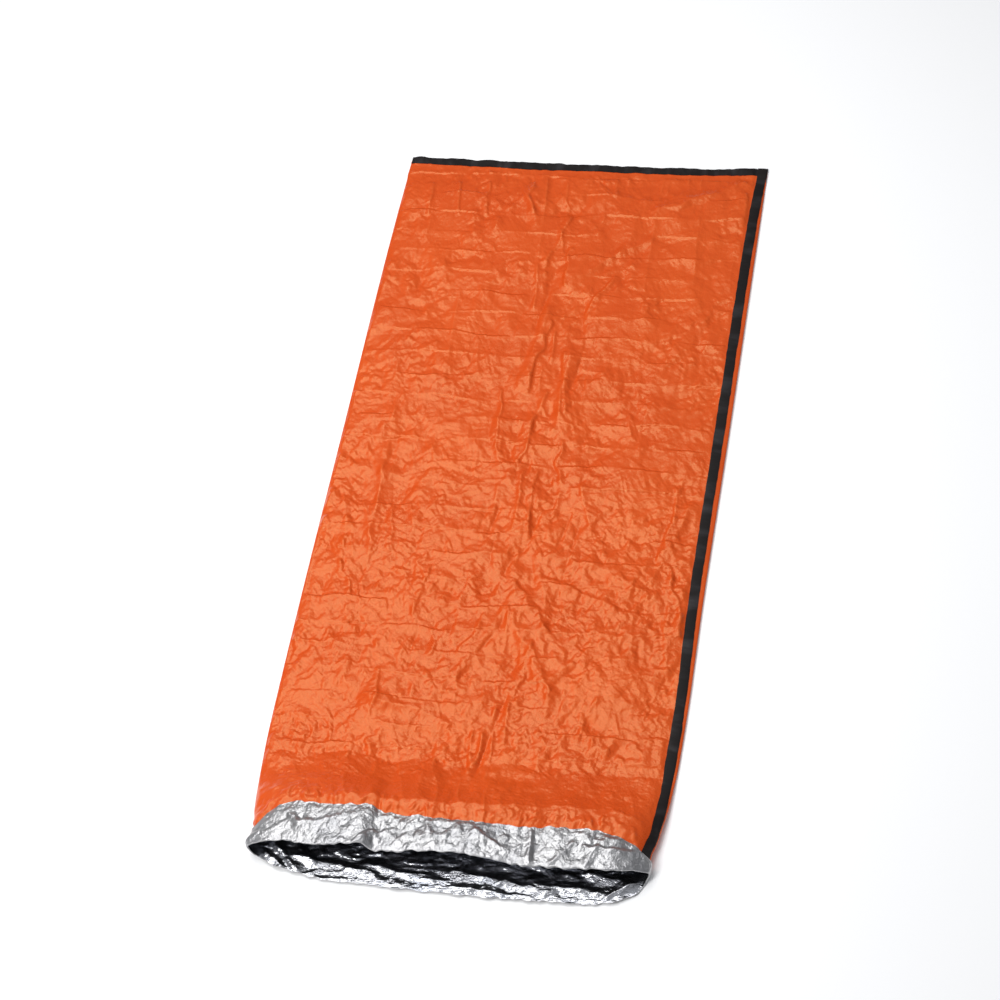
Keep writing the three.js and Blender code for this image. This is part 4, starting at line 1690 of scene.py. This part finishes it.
@dataclass(frozen=True)
class SilverFilm:
    """The inside of the film: a bright metal coat, finely crumpled."""

    name: str
    bright: Colour = (0.47, 0.466, 0.47, 1.0)
    blue: Colour = (0.31, 0.315, 0.34, 1.0)
    across: tuple[float, float, float] = (1.0, 1.0, 1.0)
    smooth: float = 0.28
    dull: float = 0.46
    crinkle: float = 0.0032
    relief: float = 0.8

    def material(self) -> bpy.types.Material:
        """Makes the material.

        Returns:
            The new material.
        """
        shader = Shader(bpy.data.materials.new(self.name))
        place = shader.place()
        strayed = shader.bent(place, 40.0, 0.012)
        patches = shader.noise(place, 11.0, 3.0)
        fine = shader.noise(strayed, 500.0, 3.0)
        drawn = shader.stretched(strayed, self.across)
        height = (
            0.5 * shader.facets(drawn, 75.0)
            + 0.35 * shader.facets(shader.stretched(shader.bent(place, 110.0, 0.004), self.across), 190.0)
            + 0.6 * abs(shader.noise(drawn, 110.0, 1.0) - 0.5)
            + 0.08 * fine
        )
        return shader.finish(
            {
                "Base Color": shader.mixed(patches.eased(0.45, 0.8) * 0.6, self.bright, self.blue),
                "Metallic": 1.0,
                "Roughness": self.smooth + (self.dull - self.smooth) * (0.7 * patches + 0.3 * fine),
                "Normal": shader.bumped(height, self.crinkle, self.relief),
            }
        )


@dataclass(frozen=True)
class DarkTape:
    """The bindings' tape: smooth and dark, with fine creases across it, and glossier patches whose lighter
    grey colour is a painted sheen.
    """

    name: str
    across: tuple[float, float, float]
    plain: Colour = (0.009, 0.0065, 0.006, 1.0)
    # The lighter grey of the glossier patches: a painted sheen.
    painted_sheen_grey: Colour = (0.036, 0.032, 0.034, 1.0)
    smooth: float = 0.30
    dull: float = 0.55
    shine: float = 0.18
    crease: float = 0.0006
    relief: float = 0.7

    def material(self) -> bpy.types.Material:
        """Makes the material.

        Returns:
            The new material.
        """
        shader = Shader(bpy.data.materials.new(self.name))
        place = shader.place()
        strayed = shader.bent(place, 60.0, 0.006)
        stretched = shader.stretched(strayed, self.across)
        creases = shader.noise(stretched, 120.0, 3.0)
        patches = shader.noise(shader.stretched(place, self.across), 22.0, 3.0)
        fine = shader.noise(place, 900.0, 2.0)
        # Patches that are smoother, and whose base colour is lightened to grey as a painted sheen.
        sheen = patches.eased(0.48, 0.72)
        return shader.finish(
            {
                "Base Color": shader.mixed(sheen * 0.7, self.plain, self.painted_sheen_grey),
                "Roughness": self.dull - (self.dull - self.smooth) * sheen + 0.06 * fine,
                "Specular IOR Level": self.shine,
                "Normal": shader.bumped(creases + 0.12 * fine, self.crease, self.relief),
            }
        )


@dataclass
class BagFilm:
    """The film of the bag's body and mouth, up to the lip."""

    rings: FilmRings
    materials: list[bpy.types.Material]
    step: int = 4
    lengths: tuple[str, ...] = ("film_foot", "film_middle", "film_head", "film_neck")
    upper_flat: tuple[float, float] = (0.92, 0.5)
    under_flat: tuple[float, float] = (0.91, 1.98)
    mouth_flat: tuple[float, float] = (1.82, 0.14)

    def build(self) -> list[bpy.types.Object]:
        """Builds and dresses the film's six pieces.

        Returns:
            The pieces, from the foot to the mouth.
        """
        end = self.rings.mouth_row
        part = end // len(self.lengths)
        pieces = []
        for k, name in enumerate(self.lengths):
            pieces.append(self._dress(self._upper(name, k * part, (k + 1) * part)))
        pieces.append(self._dress(self._under("film_under", end)))
        pieces.append(self._dress(self._mouth("film_mouth")))
        return pieces

    def _dress(self, piece: bpy.types.Object) -> bpy.types.Object:
        """Attaches a piece of the film to the bag's root and hides the shell's solid.

        Args:
            piece: the piece.

        Returns:
            The same piece.
        """
        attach(piece, "root")
        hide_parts("bag_shell")
        return piece

    def _closed(self, name: str, outer: Strip, inner: Strip, fine: bool) -> bpy.types.Object:
        """A patch of film with its cut edges closed.

        Args:
            name: the piece's name.
            outer: its outside.
            inner: its inside, well below the finest creases.
            fine: whether every point of its outside shows.

        Returns:
            The piece.
        """
        mesh = FilmMesh()
        out, deep = mesh.lay(outer, False), mesh.lay(turned(inner), False)
        if fine:
            mesh.add(grid_faces(out, False), Side.ORANGE)
        else:
            for faces in thinned_faces(out, self.step, False):
                mesh.add(faces, Side.ORANGE)
        for faces in thinned_faces(deep, self.step, True):
            mesh.add(faces, Side.SILVER)
        mesh.wall(looped(border(out)), looped(border(deep)), Side.SILVER)
        return mesh.make(name, self.materials)

    def _upper(self, name: str, start: int, end: int) -> bpy.types.Object:
        """A stretch of the upper layer.

        Args:
            name: the piece's name.
            start: its first ring.
            end: its last ring.

        Returns:
            The piece.
        """
        last = self.rings.columns.upper
        outer, inner = self.rings.orange, self.rings.deep
        return self._closed(name, outer.cut(start, end, 0, last), inner.cut(start, end, 0, last), True)

    def _under(self, name: str, end: int) -> bpy.types.Object:
        """The lower layer, with both its rounded sides.

        Args:
            name: the piece's name.
            end: its last ring.

        Returns:
            The piece.
        """
        first, last = self.rings.columns.upper, self.rings.orange.points.shape[1]
        outer, inner = self.rings.orange, self.rings.deep
        return self._closed(name, outer.cut(0, end, first, last), inner.cut(0, end, first, last), False)

    def _mouth(self, name: str) -> bpy.types.Object:
        """The film all round the mouth, up to the lip.

        Args:
            name: the piece's name.

        Returns:
            The piece.
        """
        rings = self.rings
        last = rings.orange.points.shape[1] - 1
        mesh = FilmMesh()
        out = mesh.lay(rings.orange.cut(rings.mouth_row, rings.lip_row, 0, last), True)
        inside = mesh.lay(rings.silver.cut(0, rings.lip_row - rings.mouth_row, 0, last), True)
        mesh.add(grid_faces(out, False), Side.ORANGE)
        mesh.add(grid_faces(inside, True), Side.SILVER)
        mesh.wall(out[0][::-1], inside[0][::-1], Side.SILVER)
        mesh.wall(out[-1], inside[-1], Side.SILVER)
        return mesh.make(name, self.materials)


@dataclass
class Cuff:
    """The film turned back over the outside of the bag, silver side out."""

    rings: FilmRings
    materials: list[bpy.types.Material]
    flat: tuple[float, float] = (1.82, 0.105)

    def build(self) -> bpy.types.Object:
        """Builds and dresses the cuff.

        Returns:
            The piece.
        """
        rings = self.rings
        last = rings.orange.points.shape[1] - 1
        mesh = FilmMesh()
        lip = rings.lip_row - rings.mouth_row
        silver = mesh.lay(rings.silver.cut(lip, rings.silver.points.shape[0] - 1, 0, last), True)
        orange = mesh.lay(rings.orange.cut(rings.lip_row, rings.orange.points.shape[0] - 1, 0, last), True)
        mesh.add(grid_faces(silver, True), Side.SILVER)
        mesh.add(grid_faces(orange, False), Side.ORANGE)
        mesh.wall(silver[0], orange[0], Side.SILVER)
        mesh.wall(silver[-1][::-1], orange[-1][::-1], Side.SILVER)
        piece = mesh.make("film_cuff", self.materials)
        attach(piece, "root")
        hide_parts("bag_shell")
        return piece


def tape_solid(name: str, over: Array, under: Array, material: bpy.types.Material) -> bpy.types.Object:
    """Makes a tape.

    Args:
        name: the piece's name.
        over: the points of the side that shows, in rows.
        under: those of the side that lies on the film.
        material: its finish.

    Returns:
        The piece.
    """
    mesh = FilmMesh()
    top, bottom = mesh.lay(open_strip(over), False), mesh.lay(turned(open_strip(under)), False)
    mesh.add(grid_faces(top, False), Side.ORANGE)
    mesh.add(grid_faces(bottom, True), Side.ORANGE)
    mesh.wall(looped(border(top)), looped(border(bottom)), Side.ORANGE)
    return mesh.make(name, [material])


def strays(seed: int, places: Array, wave: float, reach: float) -> Array:
    """How far an edge strays from its line.

    Args:
        seed: sets the strays.
        places: the places along the edge.
        wave: how far apart the strays are.
        reach: how far the edge strays at most.

    Returns:
        How far it strays at each place, to one side or the other.
    """
    first = places.min()
    values = np.random.default_rng(seed).uniform(-reach, reach, int((places.max() - first) / wave) + 3)
    u = (places - first) / wave
    i = u.astype(int)
    return lerp(values[i], values[i + 1], smoothstep(u - i, 0.0, 1.0))


@dataclass
class SideTape:
    """The tape along the bag's right side, from over the foot's tape to under the cuff."""

    crumple: Crumple
    material: bpy.types.Material
    rows: int = 760
    columns: int = 10
    thickness: float = 0.5
    edge_round: float = 0.3
    clear: float = 0.5
    over_foot: float = 1.4
    tucked: float = 12.0
    flat: tuple[float, float] = (0.025, 2.02)

    def _lifted(self, x: Array, y: Array, height: Array) -> Array:
        """Points at a height over the upper layer.

        Args:
            x: places across the bag.
            y: places along the flat film.
            height: the height over the film.

        Returns:
            A point for each place.
        """
        along = upper_form(x, y - 1.0) - upper_form(x, y + 1.0)
        across = upper_form(x + 1.0, y) - upper_form(x - 1.0, y)
        lift = self.crumple.upper.at(x, y) + height
        return upper_form(x, y) + unit(np.cross(along, across)) * lift[..., None]

    def build(self) -> bpy.types.Object:
        """Builds and dresses the tape.

        Returns:
            The piece.
        """
        end = FOOT_EDGE["y"](HALF_WIDTH - 20.0) - 1.0
        y = np.linspace(end, CUFF_Y - self.tucked, self.rows + 1)[:, None]
        sides = sides_at(y)
        line = y[:, 0]
        inner = sides.tape_in + (strays(21, line, 16.0, 0.5) + strays(22, line, 70.0, 0.6))[:, None]
        outer = sides.tape_out + (strays(23, line, 15.0, 0.5) + strays(24, line, 60.0, 0.5))[:, None]
        share = np.linspace(0.0, 1.0, self.columns + 1)
        x = lerp(inner, outer, share)
        places = np.broadcast_to(y, x.shape)
        foot_inner = end - BINDING_WIDTH
        over_foot = self.over_foot * smoothstep(places, foot_inner - 8.0, foot_inner + 3.0)
        puckers = 0.35 * np.abs(strays(25, line, 7.0, 1.0)) + 0.3 * np.abs(strays(26, line, 19.0, 1.0))
        ripple = puckers[:, None] * np.sin(math.pi * np.clip(share, 0.04, 0.96))
        rounded = self.edge_round * smoothstep(np.minimum(share, 1.0 - share), 0.0, 0.12)
        base = self.clear + over_foot + ripple
        over = self._lifted(x, places, base + self.thickness - self.edge_round + rounded)
        piece = tape_solid("tape_side", over, self._lifted(x, places, base), self.material)
        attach(piece, "root")
        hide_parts("side_binding")
        return piece


@dataclass
class FootTape:
    """The tape folded over the foot edge, with one leg on the upper layer and one under the lower one."""

    crumple: Crumple
    material: bpy.types.Material
    stations: int = 520
    thickness: float = 0.6
    clear: float = 0.3
    off_floor: float = 0.1
    flat: tuple[float, float] = (0.052, 0.905)

    def _section(self, x: Array) -> tuple[Array, Array]:
        """The middle line of the tape's section at each station.

        Args:
            x: the stations, across the bag.

        Returns:
            How far along the bag each point of the line lies, and how high.
        """
        edge = FOOT_EDGE["y"](x) - 0.5 * (3.2 + strays(31, x, 21.0, 4.2) + strays(32, x, 11.0, 1.6))
        inner = FOOT_EDGE["y"](x) - BINDING_WIDTH + strays(33, x, 26.0, 0.8) + strays(34, x, 9.0, 0.35)
        over_y = lerp(inner[:, None], edge[:, None], np.linspace(0.0, 0.93, 7))
        film_y = np.minimum(over_y, FOOT_END_Y)
        across = np.broadcast_to(x[:, None], film_y.shape)
        top = upper_form(across, film_y)[..., 2] + self.crumple.upper.at(across, film_y) + self.clear
        low = np.full((len(x), 1), self.off_floor + self.thickness)
        turn = np.array([0.2, 0.5, 0.8]) * math.pi
        middle, half = (top[:, -1:] + low) / 2, (top[:, -1:] - low) / 2
        round_y = over_y[:, -1:] + 0.07 * BINDING_WIDTH * np.sin(turn)
        round_z = middle + half * np.cos(turn)
        under_y = lerp(over_y[:, -1:], inner[:, None], np.array([0.0, 0.5, 1.0]))
        y = np.concatenate([over_y, round_y, under_y], axis=1)
        z = np.concatenate([top, round_z, np.repeat(low, 3, axis=1)], axis=1)
        return y, z

    def build(self) -> bpy.types.Object:
        """Builds and dresses the tape.

        Returns:
            The piece.
        """
        sides = sides_at(np.array([FOOT_END_Y]))
        x = np.linspace(float(sides.left[0]) + 0.3, float(sides.right[0]) - 0.3, self.stations + 1)
        y, z = self._section(x)
        under = np.stack([np.broadcast_to(x[:, None], y.shape), y, z], axis=-1)
        out = open_strip(under).normals * (0.0, 1.0, 1.0)
        over = under + unit(out) * self.thickness
        over[..., 2] = np.maximum(over[..., 2], 0.0)
        piece = tape_solid("tape_foot", over, under, self.material)
        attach(piece, "root")
        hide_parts("foot_binding")
        return piece


@dataclass(frozen=True)
class Softbox:
    """A soft studio light: where it hangs, where it points, its size and its power."""

    name: str
    place: tuple[float, float, float]
    aim: tuple[float, float, float]
    size: float
    power: float

    def hang(self) -> None:
        """Hangs the light."""
        lamp = bpy.data.lights.new(self.name, "AREA")
        lamp.shape, lamp.size, lamp.energy = "SQUARE", self.size, self.power
        made = bpy.data.objects.new(self.name, lamp)
        made.location = self.place
        towards = Vector(self.aim) - Vector(self.place)
        made.rotation_euler = towards.to_track_quat("-Z", "Y").to_euler()
        bpy.context.scene.collection.objects.link(made)


@dataclass(frozen=True)
class Studio:
    """The pale floor, the soft lights and the camera."""

    azimuth: float = 17.494
    elevation: float = 50.938
    roll: float = -10.553
    lens: float = 107.67
    distance: float = 6.86574
    target: tuple[float, float, float] = (-0.047536, -0.016778, 0.0)
    floor_size: float = 40.0
    floor_level: float = -0.0006
    floor_colour: Colour = (0.99, 0.99, 0.99, 1.0)
    sensor: float = 36.0
    farthest: float = 60.0
    low_air: Colour = (0.12, 0.12, 0.13, 1.0)
    high_air: Colour = (0.84, 0.86, 0.90, 1.0)
    air_strength: float = 0.56
    lights: tuple[Softbox, ...] = (
        Softbox("light_mouth", (-2.2, -3.0, 3.5), (0.0, -0.2, 0.0), 2.2, 118.0),
        Softbox("light_over", (-1.0, 0.8, 3.3), (0.0, 0.1, 0.0), 3.0, 90.0),
    )

    def build(self) -> None:
        """Builds the floor, hangs the lights and sets up the camera."""
        self._floor()
        for light in self.lights:
            light.hang()
        self._air()
        bpy.context.scene.view_settings.view_transform = "Standard"
        self._camera()

    def _air(self) -> None:
        """Fills the studio with soft light that is brighter above than at the sides."""
        shader = Shader(bpy.data.worlds.new("studio"))
        height = shader.along(shader.node("ShaderNodeTexCoord", {}, {}).outputs["Generated"], "Z")
        colour = shader.mixed(height.eased(0.05, 0.95), self.low_air, self.high_air)
        air = shader.node("ShaderNodeBackground", {}, {"Color": colour, "Strength": self.air_strength})
        shader.node("ShaderNodeOutputWorld", {}, {"Surface": air.outputs["Background"]})
        bpy.context.scene.world = shader.made

    def _floor(self) -> None:
        """Lays the floor."""
        half = self.floor_size / 2
        outline = ((-half, -half), (half, -half), (half, half), (-half, half))
        corners = [(x, y, self.floor_level) for x, y in outline]
        mesh = bpy.data.meshes.new("floor")
        mesh.from_pydata(corners, [], [(0, 1, 2, 3)])
        shader = Shader(bpy.data.materials.new("pale_floor"))
        grain = shader.noise(shader.place(), 3.0)
        rough = 0.85 + 0.1 * grain
        pale = shader.finish({"Base Color": self.floor_colour, "Roughness": rough, "Specular IOR Level": 0.1})
        mesh.materials.append(pale)
        floor = bpy.data.objects.new("floor", mesh)
        bpy.context.scene.collection.objects.link(floor)

    def _camera(self) -> None:
        """Sets up the camera."""
        angles = (self.azimuth, self.elevation, self.roll)
        azimuth, elevation, roll = (math.radians(angle) for angle in angles)
        level = math.cos(elevation)
        back = Vector((math.sin(azimuth) * level, -math.cos(azimuth) * level, math.sin(elevation)))
        right = Vector((0.0, 0.0, 1.0)).cross(back).normalized()
        up = back.cross(right)
        turned_right = math.cos(roll) * right + math.sin(roll) * up
        turned_up = math.cos(roll) * up - math.sin(roll) * right
        lens = bpy.data.cameras.new("camera")
        lens.lens, lens.sensor_width, lens.sensor_fit = self.lens, self.sensor, "HORIZONTAL"
        lens.clip_end = self.farthest
        camera = bpy.data.objects.new("camera", lens)
        turn = Matrix((turned_right, turned_up, back)).transposed().to_4x4()
        camera.matrix_world = Matrix.Translation(Vector(self.target) + self.distance * back) @ turn
        bpy.context.scene.collection.objects.link(camera)
        bpy.context.scene.camera = camera


def report(piece: bpy.types.Object) -> None:
    """Logs a piece with its number of faces."""
    log.info("%s: %d faces", piece.name, len(piece.data.polygons))


def main() -> None:
    """Builds the bag and its studio, in order."""
    logging.basicConfig(level=logging.INFO, format="%(name)s: %(message)s")
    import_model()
    Studio().build()
    orange = OrangeFilm().material()
    silver = SilverFilm("silver_film").material()
    # The silver inside the mouth is a copy of the cuff's silver with bluer colours and a darker blue, as
    # painted shade; it is also smoother, with its crinkles drawn out across the bag.
    shaded = SilverFilm(
        name="silver_film_inside",
        bright=(0.47, 0.475, 0.50, 1.0),
        blue=(0.25, 0.28, 0.35, 1.0),
        across=(0.4, 1.0, 1.0),
        smooth=0.14,
        dull=0.28,
        crinkle=0.0030,
    ).material()
    crumple = Crumple(SEED)
    rings = FilmRings(crumple)
    log.info("film laid out in %d rings", len(rings.places))
    for piece in BagFilm(rings, [orange, shaded]).build():
        report(piece)
    report(Cuff(rings, [orange, silver]).build())
    side_tape = DarkTape(name="side_tape", across=(0.35, 1.0, 1.0)).material()
    foot_tape = DarkTape(name="foot_tape", across=(1.0, 0.35, 1.0)).material()
    report(SideTape(crumple, side_tape).build())
    report(FootTape(crumple, foot_tape).build())


if __name__ == "__main__":
    main()
